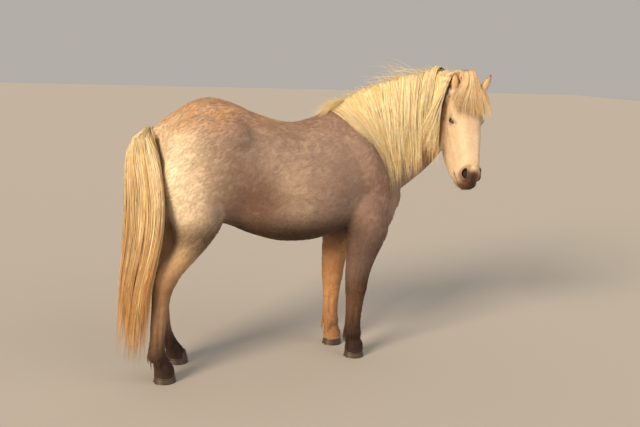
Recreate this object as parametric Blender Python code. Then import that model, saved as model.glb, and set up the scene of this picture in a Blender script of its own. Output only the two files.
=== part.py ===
"""A life-size Icelandic horse standing still, with its head turned to its right.

The horse faces +X with its right side towards -Y, and stands on Z = 0. Sizes are metres.
The body is modelled whole from lofted forms and then parted into its nodes by thin cuts.
"""

import math
import random
from collections import namedtuple

import bmesh
import bpy
from mathutils import Matrix, Vector
from mathutils.bvhtree import BVHTree

# Main heights and lengths of the animal
WITHERS = 1.380
CROUP = 1.418
BACK = 1.296
BELLY = 0.660
GIRTH = 0.695
BUTTOCK_X = -0.662
BREAST_X = 0.736
BARREL_HALF = 0.290

# Where the feet stand: x and y of the middle of each hoof
FEET = {
    "fore_right": (0.450, -0.124),
    "fore_left": (0.432, 0.105),
    "hind_right": (-0.632, -0.120),
    "hind_left": (-0.492, 0.118),
}

# The head: where the poll is, which way the nose points, the slope of the face and its lean
POLL = Vector((0.932, -0.362, 1.524))
HEAD_HEADING = math.radians(-95)
FACE_SLOPE = math.radians(71)
HEAD_LEAN = math.radians(-2.5)

# The space that two touching pieces keep
GAP = 0.0003

# Corners closer than this count as touching
TOUCH = 0.000002

# How far hair is cut back from a neighbouring piece
CLEARANCE = 0.0010

# Grain of the skin and about how many triangles it keeps
SKIN_GRAIN = 0.006
SKIN_TRIANGLES = 4300

# How much sooner the thinning leaves the head alone than the rest; a very small weight is enough
HEAD_DETAIL = 4e-5

Rib = namedtuple("Rib", "top low half waist crown keel", defaults=(0.5, 2.0, 2.0))


def clear_scene():
    for thing in list(bpy.data.objects):
        bpy.data.objects.remove(thing)


def material(name, colour, roughness):
    made = bpy.data.materials.new(name)
    made.use_nodes = True
    surface = made.node_tree.nodes["Principled BSDF"]
    surface.inputs["Base Color"].default_value = (*colour, 1.0)
    surface.inputs["Roughness"].default_value = roughness
    return made


def object_from(name, form, finish=None):
    form.normal_update()
    bmesh.ops.recalc_face_normals(form, faces=form.faces)
    mesh = bpy.data.meshes.new(name)
    form.to_mesh(mesh)
    form.free()
    made = bpy.data.objects.new(name, mesh)
    if finish is not None:
        mesh.materials.append(finish)
    bpy.context.scene.collection.objects.link(made)
    return made


def apply_modifiers(thing):
    """Replaces the object's mesh by the one that its modifiers make."""
    bpy.context.view_layer.update()
    graph = bpy.context.evaluated_depsgraph_get()
    shaped = bpy.data.meshes.new_from_object(thing.evaluated_get(graph))
    thing.modifiers.clear()
    thing.data = shaped


def combine(thing, other, operation):
    """Joins another solid to this one, cuts it away or keeps what both fill."""
    step = thing.modifiers.new("step", "BOOLEAN")
    step.operation = operation
    step.solver = "MANIFOLD"
    step.object = other
    apply_modifiers(thing)
    bpy.data.objects.remove(other)


def ease_touches(form):
    """Draws in the corners where a surface touches itself, so that a thin space is left."""
    form.normal_update()
    pairs = bmesh.ops.find_doubles(form, verts=form.verts, dist=TOUCH)["targetmap"]
    for vert in {*pairs.keys(), *pairs.values()}:
        vert.co -= vert.normal * 6 * TOUCH


def keep_largest(thing):
    """Keeps only the largest closed surface of a mesh, by its volume."""
    form = bmesh.new()
    form.from_mesh(thing.data)
    islands, seen = [], set()
    for start in form.faces:
        if start in seen:
            continue
        seen.add(start)
        island, waiting = [], [start]
        while waiting:
            face = waiting.pop()
            island.append(face)
            for edge in face.edges:
                for other in edge.link_faces if edge.is_manifold else ():
                    if other not in seen:
                        seen.add(other)
                        waiting.append(other)
        islands.append(island)

    def bulk(island):
        return sum(f.calc_center_median().dot(f.normal) * f.calc_area() for f in island)

    keep = set(max(islands, key=bulk))
    bmesh.ops.delete(form, geom=[face for face in form.faces if face not in keep], context="FACES")
    ease_touches(form)
    form.to_mesh(thing.data)
    form.free()


def fuse(thing, pieces):
    """One union of a node with the closed pieces that grow from it."""
    crowd = bpy.data.collections.new("crowd")
    bpy.context.scene.collection.children.link(crowd)
    for piece in pieces:
        bpy.context.scene.collection.objects.unlink(piece)
        crowd.objects.link(piece)
    join = thing.modifiers.new("join", "BOOLEAN")
    join.operation = "UNION"
    join.solver = "MANIFOLD"
    join.operand_type = "COLLECTION"
    join.collection = crowd
    apply_modifiers(thing)
    for piece in pieces:
        bpy.data.objects.remove(piece)
    bpy.data.collections.remove(crowd)
    keep_largest(thing)


def keep_clear(thing, *others):
    """Cuts a node back by a thin space where its hair would run into its neighbours."""
    for other in others:
        swollen = bpy.data.objects.new("swollen", other.data.copy())
        bpy.context.scene.collection.objects.link(swollen)
        for vert in swollen.data.vertices:
            vert.co += vert.normal * CLEARANCE
        combine(thing, swollen, "DIFFERENCE")
    keep_largest(thing)


def smooth_through(values, steps):
    """Values between the given ones, on a Catmull-Rom curve."""
    result = []
    last = len(values) - 1
    for k in range(last):
        before = values[max(k - 1, 0)]
        start, end = values[k], values[k + 1]
        after = values[min(k + 2, last)]
        for step in range(steps):
            t = step / steps
            linear = end - before
            square = 2 * before - 5 * start + 4 * end - after
            cube = 3 * start - before - 3 * end + after
            result.append(start + 0.5 * (linear * t + square * t**2 + cube * t**3))
    result.append(values[last])
    return result


def table_value(table, share, column):
    """A column of a table, read between the rows by their first column."""
    for low, high in zip(table, table[1:]):
        if share <= high[0]:
            t = max((share - low[0]) / (high[0] - low[0]), 0.0)
            return low[column] + (high[column] - low[column]) * t
    return table[-1][column]


def add_rings(form, rings):
    """Adds a closed tube through the rings, each a list of the same number of points."""
    loops = []
    for k, points in enumerate(rings):
        ends = k in (0, len(rings) - 1)
        ring = bmesh.ops.create_circle(form, segments=len(points), radius=1.0, cap_ends=ends)["verts"]
        for vert, point in zip(ring, points):
            vert.co = point
        loops.append([edge for edge in {e for v in ring for e in v.link_edges}])
    for first, second in zip(loops, loops[1:]):
        bmesh.ops.bridge_loops(form, edges=first + second)


def signed_power(value, power):
    return math.copysign(abs(value) ** power, value)


def rib_ring(rib, along, sides, place):
    """Points round a rib: a rounded section from its top to its low point."""
    up = (rib.top - rib.low).normalized()
    side = along.cross(up).normalized()
    middle = rib.low.lerp(rib.top, rib.waist)
    above, below = (rib.top - middle).length, (middle - rib.low).length
    points = []
    for k in range(sides):
        turn = math.tau * k / sides
        across, height = math.cos(turn), math.sin(turn)
        power = 2 / (rib.crown if height > 0 else rib.keel)
        reach = above if height > 0 else below
        out = side * rib.half * signed_power(across, power)
        points.append(place @ (middle + out + up * reach * signed_power(height, power)))
    return points


def add_loft(form, ribs, sides=20, steps=3, place=Matrix.Identity(4)):
    """Adds a closed tube whose cross sections are the ribs, in the order given."""
    columns = [smooth_through([getattr(rib, part) for rib in ribs], steps) for part in Rib._fields]
    fine = [Rib(*row) for row in zip(*columns)]
    middles = [rib.low.lerp(rib.top, rib.waist) for rib in fine]
    last = len(fine) - 1
    rings = []
    for k, rib in enumerate(fine):
        along = middles[min(k + 1, last)] - middles[max(k - 1, 0)]
        rings.append(rib_ring(rib, along, sides, place))
    add_rings(form, rings)


def add_ball(form, centre, radii, turn=Matrix.Identity(4), place=Matrix.Identity(4), detail=3):
    """Adds an ellipsoid with its own three radii, turned about its centre."""
    shape = place @ Matrix.Translation(centre) @ turn @ Matrix.Diagonal((*radii, 1.0))
    bmesh.ops.create_icosphere(form, subdivisions=detail, radius=1.0, matrix=shape)


def solid_ball(centre, radii, turn=Matrix.Identity(4), place=Matrix.Identity(4), detail=3):
    form = bmesh.new()
    add_ball(form, centre, radii, turn, place, detail)
    return object_from("ball", form)


# The trunk: x and height of each rib's top, of its foot, half width, height of its widest
# line, and how full its upper and lower halves are
TRUNK = (
    (BUTTOCK_X + 0.012, 1.170, BUTTOCK_X + 0.010, 1.000, 0.085, 0.50, 2.0, 2.0),
    (-0.630, 1.245, -0.632, 0.920, 0.165, 0.50, 2.0, 2.0),
    (-0.570, 1.318, -0.570, 0.850, 0.220, 0.50, 2.0, 2.0),
    (-0.485, 1.384, -0.485, 0.805, 0.252, 0.50, 1.9, 2.1),
    (-0.385, CROUP, -0.385, 0.785, 0.266, 0.50, 1.9, 2.1),
    (-0.275, 1.400, -0.275, 0.765, 0.266, 0.50, 1.9, 2.1),
    (-0.150, 1.350, -0.150, 0.712, 0.270, 0.46, 2.0, 2.1),
    (-0.020, 1.310, -0.020, 0.672, 0.284, 0.44, 2.0, 2.1),
    (0.100, BACK, 0.100, BELLY, BARREL_HALF, 0.44, 2.0, 2.1),
    (0.215, 1.326, 0.220, 0.666, 0.278, 0.44, 1.8, 2.1),
    (0.325, WITHERS - 0.004, 0.330, GIRTH, 0.250, 0.44, 1.6, 2.1),
    (0.430, WITHERS - 0.004, 0.450, 0.725, 0.224, 0.46, 1.6, 2.1),
    (0.535, 1.315, 0.575, 0.762, 0.200, 0.48, 1.8, 2.1),
    (0.625, 1.200, 0.672, 0.792, 0.168, 0.50, 2.0, 2.0),
    (0.690, 1.070, BREAST_X - 0.018, 0.830, 0.122, 0.50, 2.0, 2.0),
    (0.718, 0.990, BREAST_X, 0.875, 0.070, 0.50, 2.0, 2.0),
)


def add_trunk(form):
    ribs = [
        Rib(Vector((xt, 0, zt)), Vector((xl, 0, zl)), half, waist, crown, keel)
        for xt, zt, xl, zl, half, waist, crown, keel in TRUNK
    ]
    add_loft(form, ribs, sides=28)


def add_muscles(form):
    """The masses that stand out of the trunk: shoulder, arm, breast, croup and hip."""
    lean = Matrix.Rotation(math.radians(-32), 4, "Y")
    for side in (-1, 1):
        add_ball(form, (0.475, side * 0.128, 1.045), (0.120, 0.100, 0.255), lean)
        add_ball(form, (0.480, side * 0.140, 0.850), (0.150, 0.090, 0.145))
        add_ball(form, (0.610, side * 0.085, 0.900), (0.105, 0.098, 0.130))
        add_ball(form, (0.585, side * 0.100, 0.830), (0.095, 0.082, 0.130))
        add_ball(form, (-0.440, side * 0.130, 1.150), (0.205, 0.128, 0.200))
        add_ball(form, (-0.330, side * 0.140, 1.210), (0.150, 0.120, 0.125))


# Foreleg: height, middle of the leg ahead of the hoof's middle, half its length and width
FORELEG = (
    (0.900, 0.000, 0.120, 0.070),
    (0.800, 0.028, 0.130, 0.084),
    (0.720, 0.040, 0.126, 0.086),
    (0.650, 0.030, 0.108, 0.080),
    (0.580, 0.014, 0.090, 0.071),
    (0.510, 0.000, 0.076, 0.063),
    (0.445, -0.006, 0.068, 0.056),
    (0.380, -0.008, 0.060, 0.052),
    (0.330, -0.010, 0.053, 0.047),
    (0.250, -0.012, 0.047, 0.041),
    (0.185, -0.013, 0.047, 0.040),
    (0.140, -0.010, 0.050, 0.044),
    (0.105, -0.002, 0.045, 0.042),
    (0.075, 0.004, 0.050, 0.048),
    (0.030, 0.006, 0.054, 0.052),
)
ELBOW = (0.450, 0.150, 0.800)


def add_foreleg(form, foot):
    """One foreleg, from inside the shoulder down into the hoof."""
    side = math.copysign(1, foot[1])
    ribs = []
    for height, ahead, length, half in FORELEG:
        rise = min(height / ELBOW[2], 1.1)
        x = foot[0] + (ELBOW[0] - foot[0]) * rise + ahead
        y = foot[1] + (side * ELBOW[1] - foot[1]) * rise
        ribs.append(Rib(Vector((x + length, y, height)), Vector((x - length, y, height)), half))
    add_loft(form, ribs, sides=16)


# Hind leg: x and height of its front, x and height of its back, half its width
HINDLEG = (
    (-0.350, 1.090, -0.640, 1.130, 0.085),
    (-0.325, 0.960, -0.658, 1.040, 0.108),
    (-0.328, 0.860, -0.645, 0.950, 0.112),
    (-0.350, 0.785, -0.622, 0.860, 0.104),
    (-0.392, 0.720, -0.598, 0.778, 0.086),
    (-0.440, 0.665, -0.598, 0.712, 0.072),
    (-0.492, 0.610, -0.632, 0.648, 0.061),
    (-0.540, 0.560, -0.672, 0.592, 0.054),
    (-0.574, 0.508, -0.694, 0.542, 0.049),
    (-0.596, 0.460, -0.696, 0.486, 0.045),
    (-0.609, 0.400, -0.698, 0.415, 0.041),
    (-0.622, 0.310, -0.702, 0.318, 0.037),
    (-0.630, 0.210, -0.707, 0.212, 0.037),
    (-0.618, 0.145, -0.714, 0.140, 0.043),
    (-0.596, 0.105, -0.690, 0.100, 0.041),
    (-0.582, 0.075, -0.680, 0.072, 0.048),
    (-0.574, 0.030, -0.682, 0.030, 0.053),
)
HIP = (0.138, 0.90)


def add_hindleg(form, foot):
    """One hind leg, from inside the croup down into the hoof."""
    side = math.copysign(1, foot[1])
    ribs = []
    for front, front_height, back, back_height, half in HINDLEG:
        points = []
        for x, height in ((front, front_height), (back, back_height)):
            rise = min(height / HIP[1], 1.0)
            ahead = (foot[0] - FEET["hind_right"][0]) * (1 - rise)
            y = foot[1] + (side * HIP[0] - foot[1]) * rise
            points.append(Vector((x + ahead, y, height)))
        ribs.append(Rib(points[0], points[1], half))
    add_loft(form, ribs, sides=18)


# The neck: share of its length, the crest's x, y, z, the throat's x, y, z and half width
NECK = (
    (0.0, 0.300, 0.000, 1.352, 0.620, 0.000, 0.830, 0.150),
    (0.2, 0.420, 0.000, 1.396, 0.690, -0.020, 0.880, 0.142),
    (0.4, 0.550, -0.020, 1.446, 0.750, -0.075, 0.940, 0.128),
    (0.6, 0.680, -0.085, 1.494, 0.792, -0.150, 1.015, 0.114),
    (0.8, 0.795, -0.190, 1.530, 0.816, -0.235, 1.100, 0.100),
    (1.0, 0.885, -0.305, 1.524, 0.840, -0.310, 1.205, 0.078),
)


def crest_point(share):
    return Vector([table_value(NECK, share, column) for column in (1, 2, 3)])


def crest_heading(share):
    """The way the crest runs at a share of its length."""
    return (crest_point(min(share + 0.1, 1.0)) - crest_point(max(share - 0.1, 0.0))).normalized()


def add_neck(form):
    ribs = [
        Rib(Vector(row[1:4]), Vector(row[4:7]), row[7], 0.46, 1.7, 2.1)
        for row in NECK
    ]
    add_loft(form, ribs, sides=24, steps=4)


def add_crest(form):
    """The ridge of hair roots along the crest, thicker towards the poll."""
    ribs = []
    for k in range(8):
        share = 0.04 + 0.94 * k / 7
        high = 0.010 + 0.044 * min(1.0, share / 0.22) + 0.050 * max(0.0, share - 0.7)
        top = crest_point(share) + Vector((0, 0, high))
        ribs.append(Rib(top, top - Vector((0, 0, 0.075)), 0.020 + 0.016 * share))
    add_loft(form, ribs, sides=12, steps=2)


def head_frame():
    """Turns head sizes to places: x runs down the face, y to the horse's left, z off the brow."""
    flat = Vector((math.cos(HEAD_HEADING), math.sin(HEAD_HEADING), 0))
    down = flat * math.cos(FACE_SLOPE) - Vector((0, 0, math.sin(FACE_SLOPE)))
    out = flat * math.sin(FACE_SLOPE) + Vector((0, 0, math.cos(FACE_SLOPE)))
    left = Vector((0, 0, 1)).cross(flat)
    turn = Matrix((down, left, out)).transposed().to_4x4()
    return Matrix.Translation(POLL) @ Matrix.Rotation(HEAD_LEAN, 4, flat) @ turn


# The skull: distance down the face, its front, its underside, half width, widest line
SKULL = (
    (-0.038, -0.040, -0.150, 0.050, 0.55, 2.0, 2.0),
    (0.000, -0.006, -0.190, 0.066, 0.58, 2.1, 2.0),
    (0.054, 0.010, -0.228, 0.082, 0.62, 2.3, 1.9),
    (0.117, 0.014, -0.254, 0.090, 0.64, 2.5, 1.9),
    (0.176, 0.012, -0.272, 0.090, 0.64, 2.6, 1.9),
    (0.234, 0.006, -0.276, 0.082, 0.62, 2.5, 1.9),
    (0.297, 0.000, -0.272, 0.075, 0.58, 2.4, 1.8),
    (0.360, -0.003, -0.258, 0.067, 0.56, 2.4, 1.9),
    (0.414, -0.004, -0.230, 0.060, 0.56, 2.3, 2.0),
    (0.468, -0.006, -0.194, 0.055, 0.55, 2.2, 2.2),
    (0.513, -0.026, -0.152, 0.045, 0.54, 2.1, 2.1),
    (0.541, -0.055, -0.118, 0.028, 0.50, 2.0, 2.0),
)

# Places on the head: down the face, out to the left, off the brow
EYE = (0.186, 0.082, -0.056)
EYE_RADIUS = 0.0185
NOSTRIL = (0.472, 0.050, -0.021)
MOUTH_V = -0.108

# Where each ear stands, what it points to and which way it opens; both are turned back
EAR_BASE = {-1: (0.038, -0.084, -0.022), 1: (0.032, 0.074, -0.016)}
EAR_TIP = {-1: (-0.056, -0.099, 0.020), 1: (-0.067, 0.128, 0.024)}
EAR_OPEN = {-1: (-0.10, -0.25, -0.96), 1: (-0.10, -0.45, -0.88)}


def mirrored(point, side):
    return Vector((point[0], side * point[1], point[2]))


def add_head(form, place):
    ribs = [
        Rib(Vector((s, 0, front)), Vector((s, 0, back)), half, waist, crown, keel)
        for s, front, back, half, waist, crown, keel in SKULL
    ]
    add_loft(form, ribs, sides=24, place=place)
    for side in (-1, 1):
        cheek = Matrix.Rotation(math.radians(18), 4, "Y")
        add_ball(form, (0.170, side * 0.044, -0.172), (0.104, 0.044, 0.094), cheek, place)
        add_ball(form, (0.170, side * 0.069, -0.042), (0.046, 0.026, 0.032), place=place)
        add_ball(form, mirrored(EYE, side) - Vector((0, side * 0.006, 0)), (0.032, 0.022, 0.026), place=place)
        ridge = Matrix.Rotation(side * math.radians(-8), 4, "Z")
        add_ball(form, (0.285, side * 0.062, -0.092), (0.090, 0.013, 0.016), ridge, place)
        add_ball(form, (0.466, side * 0.039, -0.040), (0.042, 0.022, 0.034), place=place)
        add_ball(form, EAR_BASE[side], (0.034, 0.026, 0.028), place=place)
    add_ball(form, (-0.010, 0, -0.002), (0.050, 0.044, 0.030), place=place)
    add_ball(form, (-0.046, 0, -0.022), (0.042, 0.042, 0.056), place=place)
    add_ball(form, (-0.048, -0.034, -0.040), (0.044, 0.048, 0.055), place=place)
    add_ball(form, (0.515, 0, -0.070), (0.034, 0.046, 0.036), place=place)
    add_ball(form, (0.490, 0, -0.146), (0.038, 0.033, 0.026), place=place)


DOCK = (
    (-0.560, 1.262, 0.040),
    (-0.630, 1.246, 0.037),
    (-0.680, 1.222, 0.034),
    (-0.712, 1.192, 0.031),
)
DOCK_CUT = Vector((-0.684, 0, 1.220))
DOCK_HEADING = Vector((-0.80, 0, -0.60))


def add_dock(form):
    """The root of the tail, where it leaves the croup."""
    rise = Vector((-0.45, 0, 0.89))
    ribs = [Rib(Vector((x, 0, z)) + rise * r, Vector((x, 0, z)) - rise * r, r) for x, z, r in DOCK]
    add_loft(form, ribs, sides=14)


def fuse_skin(thing, place):
    """Melts overlapping closed forms into one smooth skin, softest on the trunk and neck."""
    melt = thing.modifiers.new("melt", "REMESH")
    melt.mode = "VOXEL"
    melt.voxel_size = SKIN_GRAIN
    apply_modifiers(thing)
    soft = thing.vertex_groups.new(name="soft")
    detail = thing.vertex_groups.new(name="detail")
    head = place.inverted()
    for vert in thing.data.vertices:
        local = head @ vert.co
        near_head = max(0.0, 1 - max((local - Vector((0.25, 0, -0.1))).length - 0.30, 0) / 0.12)
        trunk = min(max((vert.co.z - 0.55) / 0.2, 0.0), 1.0)
        soft.add([vert.index], trunk * (1 - near_head), "REPLACE")
        detail.add([vert.index], 1.0 - HEAD_DETAIL * near_head, "REPLACE")
    for name, rounds, group in (("relax", 34, "soft"), ("settle", 4, "")):
        relax = thing.modifiers.new(name, "SMOOTH")
        relax.factor = 0.5
        relax.iterations = rounds
        relax.vertex_group = group
    thin = thing.modifiers.new("thin", "DECIMATE")
    thin.ratio = SKIN_TRIANGLES / (2 * len(thing.data.polygons))
    thin.vertex_group = "detail"
    thin.vertex_group_factor = 1.0
    thin.use_collapse_triangulate = True
    apply_modifiers(thing)
    thing.vertex_groups.clear()


def region(shape, grow):
    """A closed block with eight corners, which the shape places by which side they are on."""
    form = bmesh.new()
    for vert in bmesh.ops.create_cube(form, size=2.0)["verts"]:
        vert.co = shape(vert.co.x > 0, vert.co.y > 0, vert.co.z > 0, grow)
    return object_from("region", form)


def part_off(body, name, shape):
    """Takes what lies in a region out of the body, as a node of its own."""
    taken = bpy.data.objects.new(name, body.data.copy())
    bpy.context.scene.collection.objects.link(taken)
    combine(taken, region(shape, 0.0), "INTERSECT")
    combine(body, region(shape, GAP), "DIFFERENCE")
    keep_largest(taken)
    keep_largest(body)
    return taken


def head_region(place):
    """Everything in front of a plane behind the ears and the throat."""

    def shape(low, left, out, grow):
        back = -0.064 - grow if out else 0.058 - grow
        half, front, under = 0.17 + grow, 0.12 + grow, -0.31 - grow
        return place @ Vector((0.75 if low else back, half if left else -half, front if out else under))

    return shape


def neck_region(ahead, left, up, grow):
    foot, crown = Vector((0.775, 0, 0.900)), Vector((-0.215, 0, 1.900))
    line = (crown if up else foot).copy()
    line.x += 0.9 if ahead else -grow * 1.3
    return Vector((line.x, 0.5 if left else -0.9, line.z))


# Where a leg is parted off: x of the front and back of its space, height of its plane
# beside the belly and outside
LEG_SPACE = {
    "fore": (0.80, 0.30, 0.700, 0.915),
    "hind": (-0.29, -0.90, 0.745, 0.915),
}


def leg_region(side, front, back, inner, outer):
    """The space round one leg, under a plane that rises outward from the belly."""

    def shape(ahead, out, up, grow):
        x = front + grow if ahead else back - grow
        y = 0.45 if out else 0.010 - grow
        z = (outer if out else inner) + grow * 1.3 if up else -0.1
        return Vector((x, side * y, z))

    return shape


# The coronet slopes from the front of the hoof back to its heel; the sole is a little longer
CORONET = (0.050, -0.044)
CORONET_HEIGHT = 0.055
CORONET_SLOPE = 0.245
SOLE = (0.064, -0.052)
HOOF_SIDES = 18


def coronet_height(ahead):
    return CORONET_HEIGHT + CORONET_SLOPE * ahead


def below_coronet(foot, lift):
    """A block under the sloping coronet of a foot."""

    def shape(ahead, left, up, grow):
        x = 0.15 if ahead else -0.15
        z = coronet_height(x) + lift if up else -0.1
        return Vector((foot[0] + x, foot[1] + (0.1 if left else -0.1), z))

    return region(shape, 0.0)


def make_hoof(name, foot, finish):
    """A hoof with a flat sole on the floor, wider below than at the coronet."""
    levels = (
        (SOLE[0], 0.0, SOLE[1], 0.0, 0.060),
        (SOLE[0] - 0.001, 0.006, SOLE[1], 0.006, 0.060),
        (0.056, 0.045, -0.047, 0.030, 0.053),
        (CORONET[0], coronet_height(CORONET[0]), CORONET[1], coronet_height(CORONET[1]), 0.048),
    )
    rings = []
    for front, front_z, back, back_z, half in levels:
        ring = []
        for k in range(HOOF_SIDES):
            turn = math.tau * k / HOOF_SIDES
            share = (1 + math.cos(turn)) / 2
            x = back + (front - back) * share
            z = back_z + (front_z - back_z) * share
            y = half * math.sin(turn) * (1.02 - 0.06 * share)
            ring.append(Vector((foot[0] + x, foot[1] + y, z)))
        rings.append(ring)
    form = bmesh.new()
    add_rings(form, rings)
    return object_from(name, form, finish)


# The ear: share of its length, half its width, its depth and how hollow its front is
EAR = (
    (None, 0.021, 0.020, 0.0),
    (0.38, 0.0285, 0.025, -0.50),
    (0.50, 0.0295, 0.024, -0.64),
    (0.64, 0.0260, 0.020, -0.64),
    (0.80, 0.0185, 0.0135, -0.56),
    (0.93, 0.0090, 0.007, -0.36),
    (1.0, 0.0025, 0.003, 0.1),
)
EAR_FOOT = 0.026
EAR_SIDES = 14


def make_ear(name, side, place, finish):
    """A leaf-shaped ear, hollow on one side, on the flat that the head has for it."""
    base, tip = Vector(EAR_BASE[side]), Vector(EAR_TIP[side])
    along = (tip - base).normalized()
    out = Vector(EAR_OPEN[side]).normalized()
    open_way = (out - along * out.dot(along)).normalized()
    across = along.cross(open_way)
    length = (tip - base).length
    rings = []
    for share, half, deep, hollow in EAR:
        reach = EAR_FOOT + GAP if share is None else length * share
        middle = base + along * reach
        ring = []
        for k in range(EAR_SIDES):
            turn = math.tau * k / EAR_SIDES
            front = math.sin(turn)
            depth = deep * front * (hollow if hollow and front > 0 else 1.0)
            ring.append(place @ (middle + across * half * math.cos(turn) + open_way * depth))
        rings.append(ring)
    form = bmesh.new()
    add_rings(form, rings)
    return object_from(name, form, finish)


def flatten_ear_seat(head, side, place):
    """Cuts the flat that an ear stands on."""
    base, tip = Vector(EAR_BASE[side]), Vector(EAR_TIP[side])
    along = (tip - base).normalized()
    turn = along.to_track_quat("Z", "Y").to_matrix().to_4x4()
    spot = place @ Matrix.Translation(base + along * EAR_FOOT) @ turn

    def shape(ahead, left, up, grow):
        return spot @ Vector((0.04 if ahead else -0.04, 0.04 if left else -0.04, 0.05 if up else 0.0))

    combine(head, region(shape, 0.0), "DIFFERENCE")


def open_face(head, place):
    """Lids round each eye, the nostrils and the line of the mouth."""
    for side in (-1, 1):
        eye = mirrored(EYE, side)
        lids = solid_ball(eye, [EYE_RADIUS + 0.0045] * 3, place=place)
        combine(head, lids, "UNION")
        turn = Matrix.Rotation(math.radians(-6 * side), 4, "Y")
        turn = turn @ Matrix.Rotation(math.radians(8 * side), 4, "X")
        slit = solid_ball(eye + Vector((0, side * 0.020, 0.001)), (0.0175, 0.016, 0.0105), turn, place)
        combine(head, slit, "DIFFERENCE")
        combine(head, solid_ball(eye, [EYE_RADIUS + GAP] * 3, place=place), "DIFFERENCE")
        turn = Matrix.Rotation(math.radians(-32 * side), 4, "X")
        pit = solid_ball(mirrored(NOSTRIL, side), (0.0280, 0.0120, 0.0180), turn, place, 2)
        combine(head, pit, "DIFFERENCE")
    combine(head, mouth_groove(head, place), "DIFFERENCE")
    keep_largest(head)


MOUTH_RINGS = 15
MOUTH_TURN = math.radians(100)


def mouth_groove(head, place):
    """A thin closed band along the lips, found by looking out from inside the muzzle."""
    surface = surface_of(head)
    turn = place.to_3x3()
    rise = (turn @ Vector((0, 0, 1))).normalized()
    rings = []
    last = MOUTH_RINGS - 1
    for k in range(MOUTH_RINGS):
        angle = MOUTH_TURN * (2 * k / last - 1)
        way = (turn @ Vector((math.cos(angle), math.sin(angle), 0.10 * math.cos(angle)))).normalized()
        hit = surface.ray_cast(place @ Vector((0.470, 0, MOUTH_V)), way, 0.3)[0]
        fade = min(1.0, 4.8 * min(k, last - k) / last + 0.30)
        edge = rise * 0.0048 * fade
        rings.append([hit + way * 0.006 + edge, hit - way * 0.007 * fade, hit + way * 0.006 - edge])
    form = bmesh.new()
    add_rings(form, rings)
    return object_from("groove", form)


def surface_of(*things):
    """The outer surface of some objects, for finding places on it."""
    form = bmesh.new()
    for thing in things:
        form.from_mesh(thing.data)
    tree = BVHTree.FromBMesh(form)
    form.free()
    return tree


def lock_solid(path, flat, half, thick, lean=0.0):
    """One closed lock: a flat diamond section that swells a little and tapers to its tip."""
    rings = []
    last = len(path) - 1
    for k, point in enumerate(path):
        share = k / last
        along = (path[min(k + 1, last)] - path[max(k - 1, 0)]).normalized()
        out = (flat[k] - along * flat[k].dot(along)).normalized()
        across = along.cross(out)
        wide = half * (1.0 - share**2.2) * (0.55 + 0.45 * min(1.0, 4 * share)) + 0.0012
        deep = thick * (1.0 - 0.86 * share**1.6)
        edge = across * wide
        tip = out * deep
        rings.append([point + edge, point + tip + across * wide * lean, point - edge, point - tip * 0.8])
    form = bmesh.new()
    add_rings(form, rings)
    return object_from("lock", form)


def laid_path(surface, root, ways, step, lift, sink):
    """A path that starts under the surface and lies over it; ways gives its heading at each step."""
    near, normal = surface.find_nearest(root)[:2]
    point = near + normal * lift
    path, outs = [near - normal * sink, point.copy()], [-ways[0].normalized(), normal]
    for way in ways:
        point = point + way.normalized() * step
        near, normal = surface.find_nearest(point)[:2]
        away = point - near
        if away.dot(normal) < lift:
            point = near + normal * lift
            out = normal
        else:
            out = (outs[-1] * 0.6 + away.normalized() * 0.4).normalized()
        path.append(point.copy())
        outs.append(out)
    return path, outs


# The mane falls on the right: share of the crest, length, how far it leans ahead as it falls
MANE = (
    (0.00, 0.380, 0.45),
    (0.20, 0.540, 0.32),
    (0.45, 0.580, 0.16),
    (0.70, 0.540, 0.06),
    (0.88, 0.430, -0.04),
    (1.00, 0.370, -0.20),
)
# Rows of mane locks: how many, how far right of the crest they grow, how high they lie and
# how long they are beside the first row
MANE_ROWS = ((12, 0.014, 0.010, 1.0), (11, 0.002, 0.026, 0.90))
MANE_STEPS = 5


def mane_locks(surface):
    """Rows of locks that rise off the crest and hang down the right of the neck."""
    chance = random.Random(11)
    locks = []
    for count, spread, lift, sizes in MANE_ROWS:
        for k in range(count):
            share = 0.02 + 0.94 * (k + 0.5 + chance.uniform(-0.10, 0.10)) / count
            length = table_value(MANE, share, 1) * sizes * chance.uniform(0.90, 1.06)
            ahead = table_value(MANE, share, 2) + chance.uniform(-0.03, 0.03)
            run = crest_heading(share)
            right = Vector((run.y, -run.x, 0)).normalized()
            root = crest_point(share) + right * spread + Vector((0, 0, 0.02))
            fall = Vector((ahead, 0, -1)) - Vector((0, 0.06, 0))
            ways = [right + fall * 0.35]
            ways += [fall + right * (0.20 - 0.06 * j) for j in range(MANE_STEPS - 2)]
            rise = lift * (0.5 + 1.1 * share)
            path, outs = laid_path(surface, root, ways, length / MANE_STEPS, rise, 0.028)
            square = math.sqrt(1 - run.dot(fall.normalized()) ** 2)
            locks.append(lock_solid(path, outs, 0.330 / count * square, 0.0075, chance.uniform(-0.3, 0.3)))
    return locks


# Rows of the forelock: how many locks, how high they lie, where they grow down the face
FORELOCK_ROWS = ((6, 0.008, 0.016), (5, 0.021, -0.030))


def forelock_locks(surface, place):
    """Locks that start between the ears and lie down the forehead."""
    chance = random.Random(5)
    turn = place.to_3x3()
    locks = []
    for count, lift, down in FORELOCK_ROWS:
        for k in range(count):
            spot = -1 + 2 * (k + 0.5) / count
            root = place @ Vector((down, 0.052 * spot, 0.04))
            aim = (0.95 if spot < 0 else 0.55) * spot + chance.uniform(-0.03, 0.03)
            length = 0.212 - down - 0.012 * spot**2 + chance.uniform(-0.012, 0.012)
            ways = [turn @ Vector((1.0, aim * max(0.0, 1.2 - 0.38 * j), 0.0)) for j in range(5)]
            path, outs = laid_path(surface, root, ways, length / 5, lift, 0.016)
            locks.append(lock_solid(path, outs, 0.150 / count, 0.006, chance.uniform(-0.3, 0.3)))
    return locks


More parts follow.
